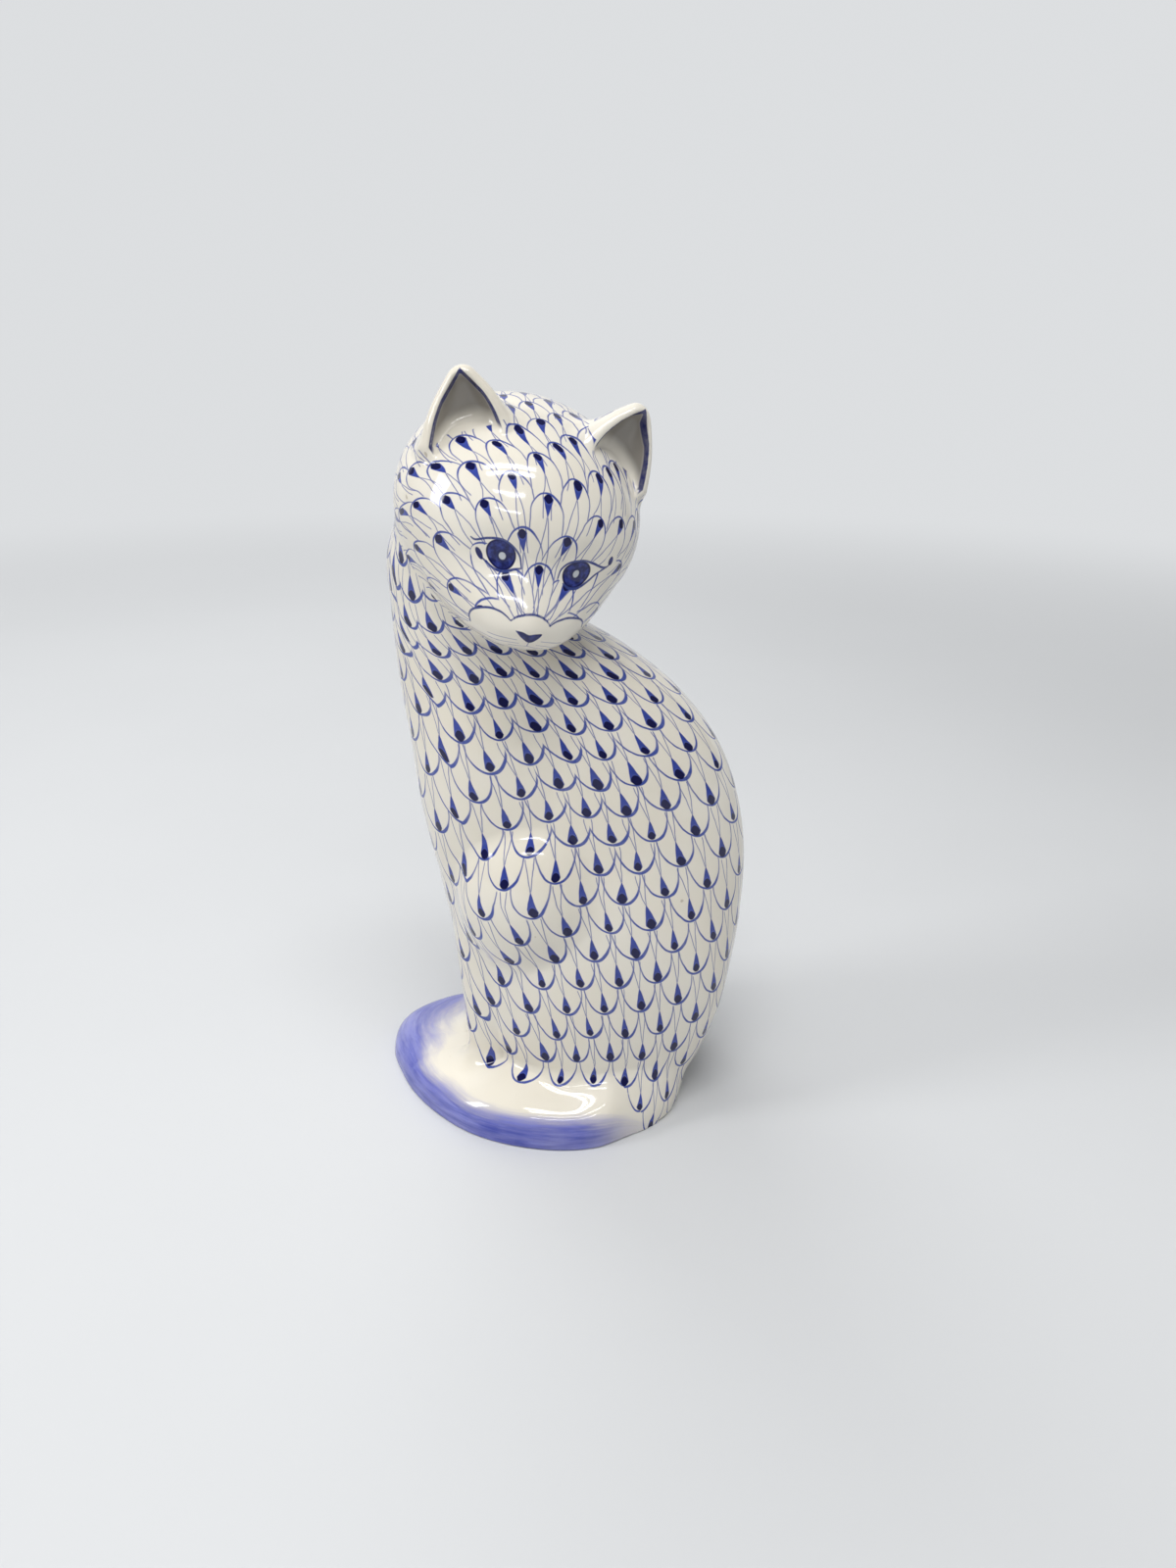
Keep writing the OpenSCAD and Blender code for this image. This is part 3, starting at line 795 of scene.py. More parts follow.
class PORCELAIN_OT_torso(PorcelainOperator):
    """Makes the body's glazed skin from the foot to the jaw"""

    bl_idname = "porcelain.torso"
    bl_label = "Torso"

    def execute(self, context):
        cols = self.form.around
        phi = (np.arange(cols) / cols) * 2 * math.pi - math.pi
        share = np.linspace(0, 1, BODY_ROWS)[:, None] ** 1.04
        shell = body_point(phi, FOOT_EDGE + (rim_height(phi) - FOOT_EDGE) * share)
        near = over_head(shell) < 2.2 * SEAM_SOFT
        shell[near] = settle(over_cat, shell[near])
        side = np.stack([np.cos(phi), np.sin(phi), 0 * phi], -1)
        foot = [body_point(phi, 0.0, off) + (0, 0, height) for off, height, _, _ in FOOT_RINGS]
        foot_ways = [side * out + (0, 0, up) for _, _, out, up in FOOT_RINGS]
        ways = gradient(over_cat, shell)
        # a last row turns in under the head
        points = np.concatenate([foot, shell, shell[-1:] - unit(ways[-1:]) * 1.2])
        normal = np.concatenate([foot_ways, ways, ways[-1:]])
        radius = np.linalg.norm(points[..., :2] - np.stack(body_axis(points[..., 2])[:2], -1), axis=-1)
        length = run_length(shell) + FOOT_EDGE
        run = np.concatenate([np.zeros((len(foot), cols)), length, length[-1:]])
        # one column more than the mesh has, so that the net runs on over the back's middle
        more = np.arange(cols + 1) % cols
        turn = np.append(phi, math.pi)
        column, row, wide = body_net(turn, points[:, more, 2], run[:, more], radius[:, more])
        pitch = self.form.row_pitch / MM
        net = np.stack([column, row / pitch, wide], -1)
        quads = grid_quads(len(points), cols)
        j, i = np.divmod(quads, cols)
        i = np.where((i == 0) & (i.max(1, keepdims=True) == cols - 1), cols, i)
        ring = np.arange(len(points))[:, None] * np.ones(cols)
        piece = skin("torso_skin", points.reshape(-1, 3), quads, normal.reshape(-1, 3),
                     corners={"net": net[j, i]},
                     values={"height": points[..., 2].ravel(), "pitch": np.full(ring.size, pitch),
                             "foot": (ring < 3).ravel()})
        material, tree, shader, base = glazed_material("torso_glaze", self.paint)
        colour = lay_net(tree, base, self.paint, "Body", number(tree, "height").ramp(0.8, 1.6))
        bare = number(tree, "foot").ramp(0.4, 0.9)
        colour = blend(tree, colour, tuple(self.paint.biscuit), bare)
        feed(tree, shader.inputs["Base Color"], colour)
        piece.data.materials.append(material)
        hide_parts("torso_casting")
        return {"FINISHED"}


# brush strokes of the face: points across and up from the middle of the face, width
FACE_STROKES = [
    ([(-20.3, 10.6), (-18.9, 10.4), (-15.6, 12.1), (-11.9, 13.2), (-8.9, 12.5), (-6.2, 10.4),
      (-5, 7.4)], 0.75),
    ([(-17.2, 6.6), (-14.6, 5.6), (-12.3, 5.0), (-9.6, 5.4), (-7, 6.6), (-5, 7.4)], 0.7),
    ([(6.3, 6.3), (7.2, 8.6), (9.7, 10.5), (13.6, 10.8), (17.3, 9.7), (21, 8.2), (22.8, 8.2),
      (23.4, 9.4)], 0.75),
    ([(8.2, 5.2), (10.5, 3.9), (13.7, 3.6), (16.9, 4.7), (19.6, 6.6), (22.6, 8.0)], 0.7),
    ([(-16, -11.5), (-17, -9), (-16.6, -6.6), (-14.8, -4.6), (-12.4, -3.2), (-9.7, -2.8), (-7.8, -3.2),
      (-6.4, -3.9)], 0.6),
    ([(-6.4, -3.9), (-5.4, -2.8), (-4.2, -2), (-1.5, -1), (1.5, -1), (4.2, -2.2), (5.4, -3.6)], 0.6),
    ([(5.4, -3.6), (6.4, -3), (8.1, -2.5), (11.4, -2.4), (15.2, -3.7), (17.3, -5.5), (17.9, -8.1)], 0.6),
]
# fine hairs on the muzzle
FACE_HAIRS = [
    ([(-10.6, -12.6), (-6, -11.2), (-2.4, -10.4)], 0.3),
    ([(-11.5, -10.6), (-7, -9.6), (-3.4, -9)], 0.3),
    ([(-14.6, -14.4), (-11.5, -12.6), (-8, -12)], 0.3),
    ([(9.6, -12.2), (6, -10.8), (2.8, -10.2)], 0.3),
    ([(10.8, -10), (7, -9), (3.8, -8.4)], 0.3),
    ([(0.2, -9), (0.3, -11.4)], 0.4),
    ([(-5, -12.4), (-2.4, -12), (0.3, -11.4), (3, -12), (5.6, -12)], 0.35),
]
# dark touches: centre, radii, turn in degrees
FACE_TOUCHES = [
    ((-17.2, 7.1), (0.85, 1.75), 40),
    ((23.5, 9.6), (0.85, 1.35), 0),
]
NOSE_OUTLINE = [(-4.7, -5.9), (-2.5, -5.6), (-0.6, -6), (1.2, -5.5), (3.4, -5.6), (2.4, -7.4),
                (0.4, -9.2), (-2, -8)]
IRISES = [((-11.3, 9.2), (4.3, 3.95)), ((12.4, 7.2), (4.7, 3.6))]
GLINTS = [(-10.9, 8.9), (12.2, 7.2)]
LIDS = [
    [(-17.4, 7.4), (-15.6, 10.4), (-11.9, 13.1), (-8.9, 12.4), (-6.2, 10.2), (-5, 7.4), (-7, 6.6),
     (-9.6, 5.7), (-12.3, 5.3), (-14.6, 6)],
    [(6.3, 6.3), (7.2, 8.6), (9.7, 10.4), (13.6, 10.7), (17.3, 9.6), (20.5, 8.1), (19.6, 6.6),
     (16.9, 4.7), (13.7, 3.7), (10.5, 4), (8.2, 5.2)],
]


def brush_curve(points, fine=10):
    """A fair curve through given points."""
    p = np.array(points, float)
    p = np.concatenate([2 * p[:1] - p[1:2], p, 2 * p[-1:] - p[-2:-1]])
    t = np.linspace(0, 1, fine, endpoint=False)[:, None]
    out = []
    for a, b, c, d in zip(p, p[1:], p[2:], p[3:]):
        bend, twist = 2 * a - 5 * b + 4 * c - d, 3 * b - a - 3 * c + d
        out.append(0.5 * (2 * b + (c - a) * t + bend * t**2 + twist * t**3))
    return np.concatenate(out + [p[-2:-1]])


def from_line(q, curve, closed=False):
    """Distance of flat points q to a curve, and how far along it the nearest spot is."""
    if closed:
        curve = np.concatenate([curve, curve[:1]])
    best, along = np.full(len(q), 1e3), np.zeros(len(q))
    for k, (a, b) in enumerate(zip(curve, curve[1:])):
        ab = b - a
        t = np.clip(((q - a) @ ab) / max(ab @ ab, 1e-9), 0, 1)
        dist = np.linalg.norm(q - a - t[:, None] * ab, axis=-1)
        near = dist < best
        best = np.where(near, dist, best)
        along = np.where(near, (k + t) / (len(curve) - 1), along)
    return best, along


def within(q, outline):
    """1 inside a closed outline, else 0."""
    inside = np.zeros(len(q), bool)
    for a, b in zip(outline, np.roll(outline, -1, axis=0)):
        crosses = (a[1] > q[:, 1]) != (b[1] > q[:, 1])
        x = (b[0] - a[0]) * (q[:, 1] - a[1]) / (b[1] - a[1] + 1e-12) + a[0]
        inside ^= crosses & (q[:, 0] < x)
    return inside


def shape_depth(q, outline):
    """How deep a point lies inside a closed outline; negative outside."""
    dist, _ = from_line(q, outline, closed=True)
    return np.where(within(q, outline), dist, -dist)


def blob_depth(q, outline):
    """How deep a point lies inside a fair closed curve through given points."""
    return shape_depth(q, brush_curve(outline + outline[:1], 6)[:-1])


def stroke_depth(q, points, width, swell=0.45):
    """How deep a point lies inside a brush stroke; swell is the share its ends lose."""
    dist, along = from_line(q, brush_curve(points))
    return width * 0.5 * (1 - swell + swell * np.sin(np.pi * np.clip(along, 0, 1)) ** 0.6) - dist


def oval_depth(q, centre, radii, turn=0):
    """How deep a point lies inside an oval, roughly, with turn in degrees."""
    c, s = math.cos(math.radians(turn)), math.sin(math.radians(turn))
    x, y = (q - centre).T
    return (1 - np.hypot((x * c + y * s) / radii[0], (y * c - x * s) / radii[1])) * min(radii)


def face_paint(local):
    """Point values that hold the face's brushwork, in millimetres to the edge of each mark."""
    q = local[:, 1:]
    front = (local[:, 0] > 14) & (np.abs(q[:, 0]) < 30) & (np.abs(q[:, 1] - 2) < 24)
    f = q[front]
    # the white muzzle, from the line over it down under the chin
    muzzle = sum((brush_curve(points).tolist() for points, _ in FACE_STROKES[4:7]), [])
    muzzle = np.array(muzzle + [[18.5, -12], [14, -26], [-14, -26], [-17, -14]])
    marks = {
        "stroke": [stroke_depth(f, *stroke) for stroke in FACE_STROKES],
        "hair": [stroke_depth(f, *hair, swell=0) for hair in FACE_HAIRS],
        "dark": [blob_depth(f, NOSE_OUTLINE), *(oval_depth(f, *touch) for touch in FACE_TOUCHES)],
        "iris": [oval_depth(f, *iris) for iris in IRISES],
        "white": [shape_depth(f, muzzle), *(blob_depth(f, lid) for lid in LIDS),
                  *(2.4 - np.hypot(*(f - centre).T) for centre, _, _ in FACE_TOUCHES)],
    }
    paint = {"across": q[:, 0], "up": q[:, 1]}
    for label, depths in marks.items():
        paint[label] = np.full(len(local), -5.0)
        paint[label][front] = np.maximum(-5.0, np.max(depths, axis=0))
    for side in (1, -1):
        v, x, y = ear_spot(side, from_head(local))
        bowl = np.minimum(EAR_RISE * (v - 0.1), ear_section(v)[0] - np.abs(x))
        paint["white"] = np.where((y > -4) & (y < 16), np.maximum(paint["white"], bowl), paint["white"])
    return paint


class PORCELAIN_OT_head(PorcelainOperator):
    """Makes the head's glazed skin with its painted face"""

    bl_idname = "porcelain.head"
    bl_label = "Head"

    def execute(self, context):
        rays, quads, fans = self.rays(self.form.face_step / MM)
        points = from_head(rays * head_radius(rays)[:, None])
        # what lies in the body is cut away, and the cut edge is drawn to where the two skins meet
        outside = over_body(points) > 0
        quads = quads[outside[quads].any(1)]
        used = np.zeros(len(points), bool)
        used[quads.ravel()] = True
        edge = used & ~outside
        points[edge] = self.onto_seam(points[edge])
        close = used & (over_body(points) < 2.2 * SEAM_SOFT)
        points[close] = settle(over_cat, points[close])
        normal = gradient(over_cat, points)
        local = into_head(points)
        used[-2:] = True
        table = np.cumsum(used) - 1
        faces = quads.tolist() + fans.tolist()
        column, row, wide, pitch = head_net(local)
        column = np.where(column < -180, column + 360, column)
        corners = []
        for f in faces:
            turn = column[f]
            turn = np.where(turn < turn.max() - 180, turn + 360, turn)
            corners.extend(np.stack([turn, row[f], wide[f]], -1))
        faces = [[int(table[v]) for v in f] for f in faces]
        values = {k: v[used] for k, v in face_paint(local).items()}
        values["pitch"] = pitch[used]
        piece = skin("head_skin", points[used], faces, normal[used],
                     corners={"net": np.array(corners)}, values=values)
        piece.data.materials.append(self.material())
        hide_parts("head_casting")
        return {"FINISHED"}

    def rays(self, step):
        """Ways in rings round the nose, close over the face and wide behind, with quads and end fans."""
        cols = HEAD_COLUMNS
        near = np.degrees(step / NOSE_REACH)
        alpha = np.concatenate([np.arange(1, int(FACE_ANGLE / near)) * near,
                                np.linspace(FACE_ANGLE, 179.5, 120)])
        beta = np.arange(cols) / cols * 2 * math.pi - math.pi
        a, b = np.meshgrid(np.radians(alpha), beta, indexing="ij")
        d = (np.cos(a)[..., None] * NET_AXIS + np.sin(a)[..., None]
             * (np.cos(b)[..., None] * NET_RISE + np.sin(b)[..., None] * (0, 1.0, 0)))
        tip, last, ring = len(alpha) * cols, (len(alpha) - 1) * cols, np.arange(cols)
        onward = np.roll(ring, -1)
        front = np.stack([np.full(cols, tip), onward, ring], -1)
        back = np.stack([np.full(cols, tip + 1), last + ring, last + onward], -1)
        rays = np.concatenate([d.reshape(-1, 3), NET_AXIS[None], -NET_AXIS[None]])
        return rays, grid_quads(len(alpha), cols), np.concatenate([front, back])

    def onto_seam(self, p):
        """Moves points to where the head's face meets the body's."""
        for _ in range(6):
            m = np.stack([gradient(over_head, p), gradient(over_body, p)], -2)
            f = np.stack([over_head(p), over_body(p)], -1)
            across = np.swapaxes(m, -1, -2)
            p = p - (across @ np.linalg.solve(m @ across, f[..., None]))[..., 0]
        return p

    def material(self):
        paint = self.paint
        material, tree, shader, base = glazed_material("head_glaze", paint)
        keep = number(tree, "white").ramp(0.1, -0.1)
        colour = lay_net(tree, base, paint, "Head", keep)
        here = place(tree)
        load = 0.75 + cloud(tree, here, 500, 3, 0.6) * 0.4
        colour = blend(tree, colour, tuple(paint.line), number(tree, "hair").ramp(-0.12, 0.14) * 0.62)
        iris = number(tree, "iris")
        across, up = number(tree, "across"), number(tree, "up")
        wash = cloud(tree, join(tree, across * 0.4, up * 0.4, 0.0), 1.6, 3, 0.6)
        eye = blend(tree, (0.03, 0.045, 0.24), (0.006, 0.009, 0.075), wash.ramp(0.35, 0.65))
        eye = blend(tree, eye, tuple(paint.dot), iris.ramp(0.75, 0.2))
        left, right = (((across - x) * (across - x) + (up - y) * (up - y)).root() for x, y in GLINTS)
        glint = left.smaller(right)
        eye = blend(tree, eye, (0.006, 0.01, 0.075), glint.ramp(2.4, 1.3))
        eye = blend(tree, eye, (0.50, 0.53, 0.56), glint.ramp(1.15, 0.85))
        colour = blend(tree, colour, eye, iris.ramp(-0.1, 0.12))
        stroke = number(tree, "stroke").ramp(-0.1, 0.14) * load
        colour = blend(tree, colour, tuple(c * 0.62 for c in paint.line), stroke)
        nose = blend(tree, (0.008, 0.012, 0.09), (0.03, 0.04, 0.19), cloud(tree, here, 350, 2).ramp(0.4, 0.7))
        colour = blend(tree, colour, nose, number(tree, "dark").ramp(-0.1, 0.12))
        feed(tree, shader.inputs["Base Color"], colour)
        return material


def ear_frame(side):
    """Middle of an ear's root, its way to the tip, and the ways across and back, in the head's axes."""
    m = np.array([1, side, 1.0])
    outer, inner, tip = EAR_OUTER * m, EAR_INNER * m, EAR_TIP * m
    back = unit(np.cross(tip - outer, inner - outer))
    middle = (outer + inner) / 2
    return middle, tip - middle, unit(outer - inner), back if back[0] < 0 else -back


def ear_section(v):
    """Half width of the opening, rim, depth behind and hollow in front, at a share v of the height."""
    v = np.clip(v, EAR_LOW, EAR_HIGH)
    left = np.clip(1 - v, 0, 1)
    sink = 1 + 0.9 * np.minimum(v, 0)
    rim = (EAR_RIM[1] + (EAR_RIM[0] - EAR_RIM[1]) * left) * sink
    half = np.linalg.norm(EAR_OUTER - EAR_INNER) / 2 * (left + 0.16 * np.sin(math.pi * left))
    deep = (EAR_HOLLOW * left**0.8 + rim) * np.clip((left - 0.07) / 0.14, 0, 1) - rim
    return half * sink, rim, (EAR_DEPTH * left**0.8 + 2.4) * sink, deep


def ear_front(u, half, rim, hollow):
    """Depth of the rolled rim and the bowl behind it, at a distance u from the ear's middle."""
    roll = -rim * np.sqrt(np.clip(1 - ((u - half) / np.maximum(rim, 0.01))**2, 0, 1))
    bowl = -rim + (hollow + rim) * (1 - np.clip(u / np.maximum(half, 0.01), 0, 1)**3)
    return np.where(u > half, roll, bowl)


def ear_spot(side, p):
    """Share of the ear's height, place across and back of points."""
    middle, way, across, back = ear_frame(side)
    return np.moveaxis((into_head(p) - middle) @ np.linalg.inv(np.stack([way, across, back])), -1, 0)


def over_ear(side, p):
    """Height of a point over an ear, and whether the front of the ear is what lies nearest."""
    v, x, y = ear_spot(side, p)
    past, under = EAR_RISE * np.maximum(v - EAR_HIGH, 0), EAR_RISE * np.maximum(EAR_LOW - v, 0)
    half, rim, depth, hollow = ear_section(v)
    wide = half + rim
    # an ellipsoid that runs on from the section and closes the tip
    cap = np.hypot(np.hypot(x / wide, y / np.where(y < 0, rim, depth)) * 0.775, (past + 3.1) / 4.9)
    behind = np.where(past > 0, (cap - 1) * 3.5,
                      (np.hypot(x / wide, np.maximum(y, 0) / depth) - 1) * np.minimum(wide, depth))
    front = np.where(past > 0, -9, ear_front(np.abs(x), half, rim, hollow) - y)
    corner = np.hypot(np.maximum(behind, 0), np.maximum(front, 0))
    return (np.where(corner > 0, corner, np.maximum(behind, front)) + under,
            np.where(past > 0, y < -0.3 * rim, front > behind))


def over_eared(side, p):
    """Height over head and ear, run together softly behind and closely in front; and the softness."""
    v, x, y = ear_spot(side, p)
    half = ear_section(v)[0]
    loose = np.maximum(np.clip((y + 1) / 6, 0, 1),
                       np.clip((np.abs(x) - half + 2) / 7, 0, 0.75) * np.clip((y + 6) / 6, 0, 1))
    soft = EAR_SOFT[0] + (EAR_SOFT[1] - EAR_SOFT[0]) * loose
    return -smooth_max(-over_head(p), -over_ear(side, p)[0], soft), soft


def head_net(local):
    """Turn, row, millimetres a degree and row pitch of the net at points round the head."""
    n = np.linalg.norm(local, axis=-1)
    d = local / n[..., None]
    al = np.degrees(np.arccos(np.clip(d @ NET_AXIS, -1, 1)))
    be = np.degrees(np.arctan2(d[..., 1], d @ NET_RISE))
    wide = np.maximum(n * np.sin(np.radians(al)), 0.5) * math.pi / 180
    pitch = 0.2 / np.maximum(fair(HEAD_ROWS, al + 0.1, 1) - fair(HEAD_ROWS, al - 0.1, 1), 0.01)
    return be - fair(HEAD_ROWS, al, 2), fair(HEAD_ROWS, al, 1), wide, np.radians(pitch) * n


class PORCELAIN_OT_ears(PorcelainOperator):
    """Makes both ears and runs their roots softly into the head"""

    bl_idname = "porcelain.ears"
    bl_label = "Ears"

    def execute(self, context):
        material = self.material()
        for side, name, node in ((1, "ear_left_skin", "ear_left"), (-1, "ear_right_skin", "ear_right")):
            marks = np.array([EAR_OUTER, EAR_INNER, EAR_TIP]) * (1, side, 1)

            def field(p):
                return over_eared(side, p)[0]

            box = marks.min(0) - (19, 13, 13), marks.max(0) + (10, 11, 4)
            local, quads = cast_skin(lambda q: field(from_head(q)), *box, EAR_STEP)
            points = from_head(local)
            for _ in range(2):
                points = settle(field, relax(points, quads, 0.6), 2)
            for _ in range(3):
                points = relax(points, quads, 0.5)
            # only the ear and its soft root are kept; the border lies just under the head's skin
            quads = quads[(over_ear(side, points)[0] < 1.04 * EAR_SOFT[1])[quads].all(1)]
            used, flat = np.unique(quads, return_inverse=True)
            quads, points = flat.reshape(-1, 4), points[used]
            lift = over_head(points)
            share = np.clip(lift / 0.3, 0, 1)[:, None]
            ways = face_ways(points, quads)
            for _ in range(2):
                ways = unit(relax(ways, quads, 0.6))
            normal = ways * share + unit(gradient(over_head, points)) * (1 - share)
            points = points - normal * (0.15 * np.clip(1.2 - lift / 0.02, 0, 1))[:, None]
            net, values = self.brushwork(side, points)
            net = net[quads]
            net[..., 0] += 360 * (net[..., 0] < net[..., 0].max(1, keepdims=True) - 180)
            piece = skin(name, points, quads, normal, corners={"net": net}, values=values)
            piece.data.materials.append(material)
            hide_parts(node)
        return {"FINISHED"}

    def brushwork(self, side, points):
        """The head's net at an ear's root, the ear's own rows on its back, and where each is painted."""
        v, x, y = ear_spot(side, points)
        half, rim, depth, _ = ear_section(v)
        wide = half + rim
        height = over_head(points)
        inside = np.minimum(half - np.abs(x), (0.97 - v) * 13 - np.abs(x) * 0.8)
        edge = np.where(over_ear(side, points)[1], inside, -rim - np.abs(y))
        turn, line, span, pitch = head_net(into_head(points))
        own = height > 3.2
        # rows 7 mm apart that climb the ear
        turn = np.where(own, np.degrees(np.arctan2(y / depth, x / wide)) - 90, turn)
        line = np.where(own, height / 7 + 0.35, line)
        span = np.where(own, np.radians(np.maximum(wide + depth, 1) / 2), span)
        pitch = np.where(own, 7.0, pitch)
        back = np.clip((height - 3.4) / 0.5, 0, 1) * np.clip((0.74 - v) / 0.1, 0, 1) * np.clip(y - 0.8, 0, 1)
        paint = np.where(own, back, np.clip((3.0 - height) / 0.5, 0, 1))
        floor = np.clip(1.3 - height, 0, 1) * np.clip(2.6 - EAR_RISE * v, 0, 1)
        paint = np.where(edge > -0.8, floor, paint)
        values = {"edge": edge, "base": height, "pitch": pitch, "paint": paint}
        return np.stack([turn, line, span], -1), values

    def material(self):
        material, tree, shader, base = glazed_material("ear_glaze", self.paint)
        edge, root = number(tree, "edge"), number(tree, "base")
        load = 0.75 + cloud(tree, place(tree), 300, 3, 0.6) * 0.4
        keep = number(tree, "paint").ramp(0.45, 0.75) * edge.ramp(-0.6, -1.4).larger(root.ramp(1.0, 0.4))
        base = lay_net(tree, base, self.paint, "Head", keep)
        # painted shade: a grey-brown wash darkens the ears' hollows, most deep in the opening and fading out
        # towards the head
        bowl = edge.ramp(0.2, 1.2) * root.ramp(0.3, 4.2) * 0.85
        colour = blend(tree, base, tuple(self.paint.hollow), bowl)
        width = 0.42 + cloud(tree, place(tree), 120, 1) * 0.2
        line = (abs(edge - 0.3) - width).ramp(0.14, -0.14) * root.ramp(0.6, 2.0) * load.smaller(1.0)
        colour = blend(tree, colour, (0.012, 0.018, 0.12), line)
        feed(tree, shader.inputs["Base Color"], colour)
        return material


def tail_point(deg, s):
    """A point of the tail's upper face; s runs from the outer edge (0) to the body (1)."""
    angle = np.radians(deg)
    tip = np.sqrt(np.clip(1 - (1 - np.clip((deg + 154) / 9, 0, 1))**2, 0, 1))
    root = np.clip((30 - deg) / 30, 0, 1)
    root = root * root * (3 - 2 * root)
    near = body_point(angle, 1 + 11 * root)
    span = np.maximum(fair(TAIL_REACH, np.minimum(deg, 30), 1) - np.hypot(near[..., 0], near[..., 1]), 2.0)
    span = span * tip * root + 0.02
    high = fair(TAIL_RISE, np.minimum(deg, 22), 1) * (0.3 + 0.7 * tip) * (0.15 + 0.85 * root)
    a = s * math.pi / 2
    x = span * np.cos(a)**0.75
    z = high * np.sin(a)**0.8
    bend = 9.0 * root * tip + 0.01
    z = z + bend * (1 - np.sqrt(1 - (1 - np.clip(x / bend, 0, 1))**2)) * np.sin(a)
    wall = body_point(angle, z)
    r = np.hypot(wall[..., 0], wall[..., 1])
    reach = np.hypot(near[..., 0], near[..., 1]) + span
    out = r + x / span * (reach - r)
    flat = wall[..., :2] / r[..., None] * out[..., None]
    return np.concatenate([flat, z[..., None]], -1)


class PORCELAIN_OT_tail(PorcelainOperator):
    """Makes the tail wrapped round the foot, washed in thin cobalt"""

    bl_idname = "porcelain.tail"
    bl_label = "Tail"

    def execute(self, context):
        cols = 300
        deg = np.linspace(-153.98, 29.9, cols)
        # even steps up the tail, then ever closer ones where it meets the body
        s = np.concatenate([np.linspace(0, 0.88, 56)[:-1], 1 - 0.12 * (1 - np.linspace(0, 1, 36))**2.2])
        ds, dd = np.meshgrid(s, deg, indexing="ij")
        points = tail_point(dd, ds)
        inner = body_point(np.radians(deg), 0.0, -1.0)
        inner[:, 2] = 0.0
        edge = points[0].copy()
        edge[:, :2] *= 0.985
        edge[:, 2] = 0.0
        top = body_point(np.radians(deg), points[-1][:, 2] + 0.4, -0.8)
        points[0][:, 2] = 0.5
        points = np.concatenate([inner[None], edge[None], points, top[None]])
        quads = grid_quads(len(points), cols, closed=False)
        share = np.concatenate([[0, 0], s, [1]])[:, None] * np.ones(cols)
        length = np.broadcast_to(run_length(points[2:3].transpose(1, 0, 2))[:, 0], (len(points), cols))
        wall = body_point(np.radians(deg), 1 + (points[-1][:, 2] - 1) * np.linspace(0, 1, 20)[:, None])
        run = run_length(points)
        run = run_length(wall)[-1] + 1 + run - run[-1]
        around = np.hypot(points[..., 0], points[..., 1])
        column, row, wide = body_net(np.radians(deg) * np.ones_like(run), np.maximum(run, 0), run, around)
        pitch = self.form.row_pitch / MM
        net = np.stack([column, row / pitch, wide], -1).reshape(-1, 3)
        normal = face_ways(points[2:-1].reshape(-1, 3), grid_quads(len(points) - 3, cols, closed=False))
        normal = normal.reshape(-1, cols, 3)
        wall = unit(gradient(over_body, points[-2]))
        normal[-1], normal[-2] = wall, unit(normal[-2] + wall)
        normal = np.concatenate([np.zeros((2, cols, 3)) - (0, 0, 1), normal, wall[None]])
        piece = skin("tail_skin", points.reshape(-1, 3), quads, normal.reshape(-1, 3),
                     corners={"net": net[quads]},
                     values={"share": share.ravel(), "turn": np.broadcast_to(deg, share.shape).ravel(),
                             "length": length.ravel(), "pitch": np.full(share.size, pitch)})
        piece.data.materials.append(self.material())
        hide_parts("tail_casting")
        return {"FINISHED"}

    def material(self):
        material, tree, shader, base = glazed_material("tail_glaze", self.paint)
        share, turn, length = number(tree, "share"), number(tree, "turn"), number(tree, "length")
        streak = cloud(tree, join(tree, length * 0.012, share * 2.6, 0.0), 3.0, 5, 0.62)
        fine = cloud(tree, join(tree, length * 0.03, share * 7.0, 3.0), 2.0, 4, 0.6)
        pool = cloud(tree, place(tree), 34, 3, 0.55)
        tip = turn.ramp(-100.0, -138.0)
        reach = turn.ramp(-120.0, -70.0, 0.86, 0.5)
        cover = (share + (streak - 0.5) * 0.4 + (pool - 0.5) * 0.25).ramp(reach + 0.2, reach - 0.2)
        fade = (turn + (pool - 0.5) * 30.0).ramp(30.0, -6.0)
        amount = cover * fade * (0.52 + fine * 0.3 + pool * 0.45)
        amount = amount.larger(tip * (streak + pool * 0.4).ramp(0.42, 0.75) * 0.9).smaller(1.0)
        thick = ((streak * fine).ramp(0.2, 0.36) * 0.7 + (pool - 0.5).ramp(0.05, 0.2) * 0.4).smaller(0.9)
        thin = blend(tree, tuple(self.paint.wash), (0.18, 0.20, 0.60), (1.0 - streak).ramp(0.45, 0.65) * 0.6)
        deep = blend(tree, thin, (0.035, 0.05, 0.34), thick * (share.ramp(0.45, 0.0) * 0.6 + 0.4))
        colour = blend(tree, base, deep, amount)
        keep = turn.ramp(-140.0, -110.0) * share.ramp(0.2, 0.4).larger(turn.ramp(2.0, 12.0))
        colour = lay_net(tree, colour, self.paint, "Body", keep)
        feed(tree, shader.inputs["Base Color"], colour)
        return material


class PORCELAIN_OT_base_plate(PorcelainOperator):
    """Gives the closing plate its unglazed biscuit"""

    bl_idname = "porcelain.base_plate"
    bl_label = "Base plate"

    def execute(self, context):
        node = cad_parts["base_plate"]
        material, tree, shader = new_material("biscuit")
        here = place(tree)
        grain = cloud(tree, here, 900, 2)
        light = tuple(self.paint.biscuit)
        colour = blend(tree, tuple(c * 0.82 for c in light), light, cloud(tree, here, 60, 4).ramp(0.3, 0.7))
        feed(tree, shader.inputs["Base Color"], colour)
        feed(tree, shader.inputs["Roughness"], 0.62 + grain * 0.25)
        roughen(tree, shader, grain, 0.3, 0.0002)
        node.data.materials.clear()
        node.data.materials.append(material)
        return {"FINISHED"}


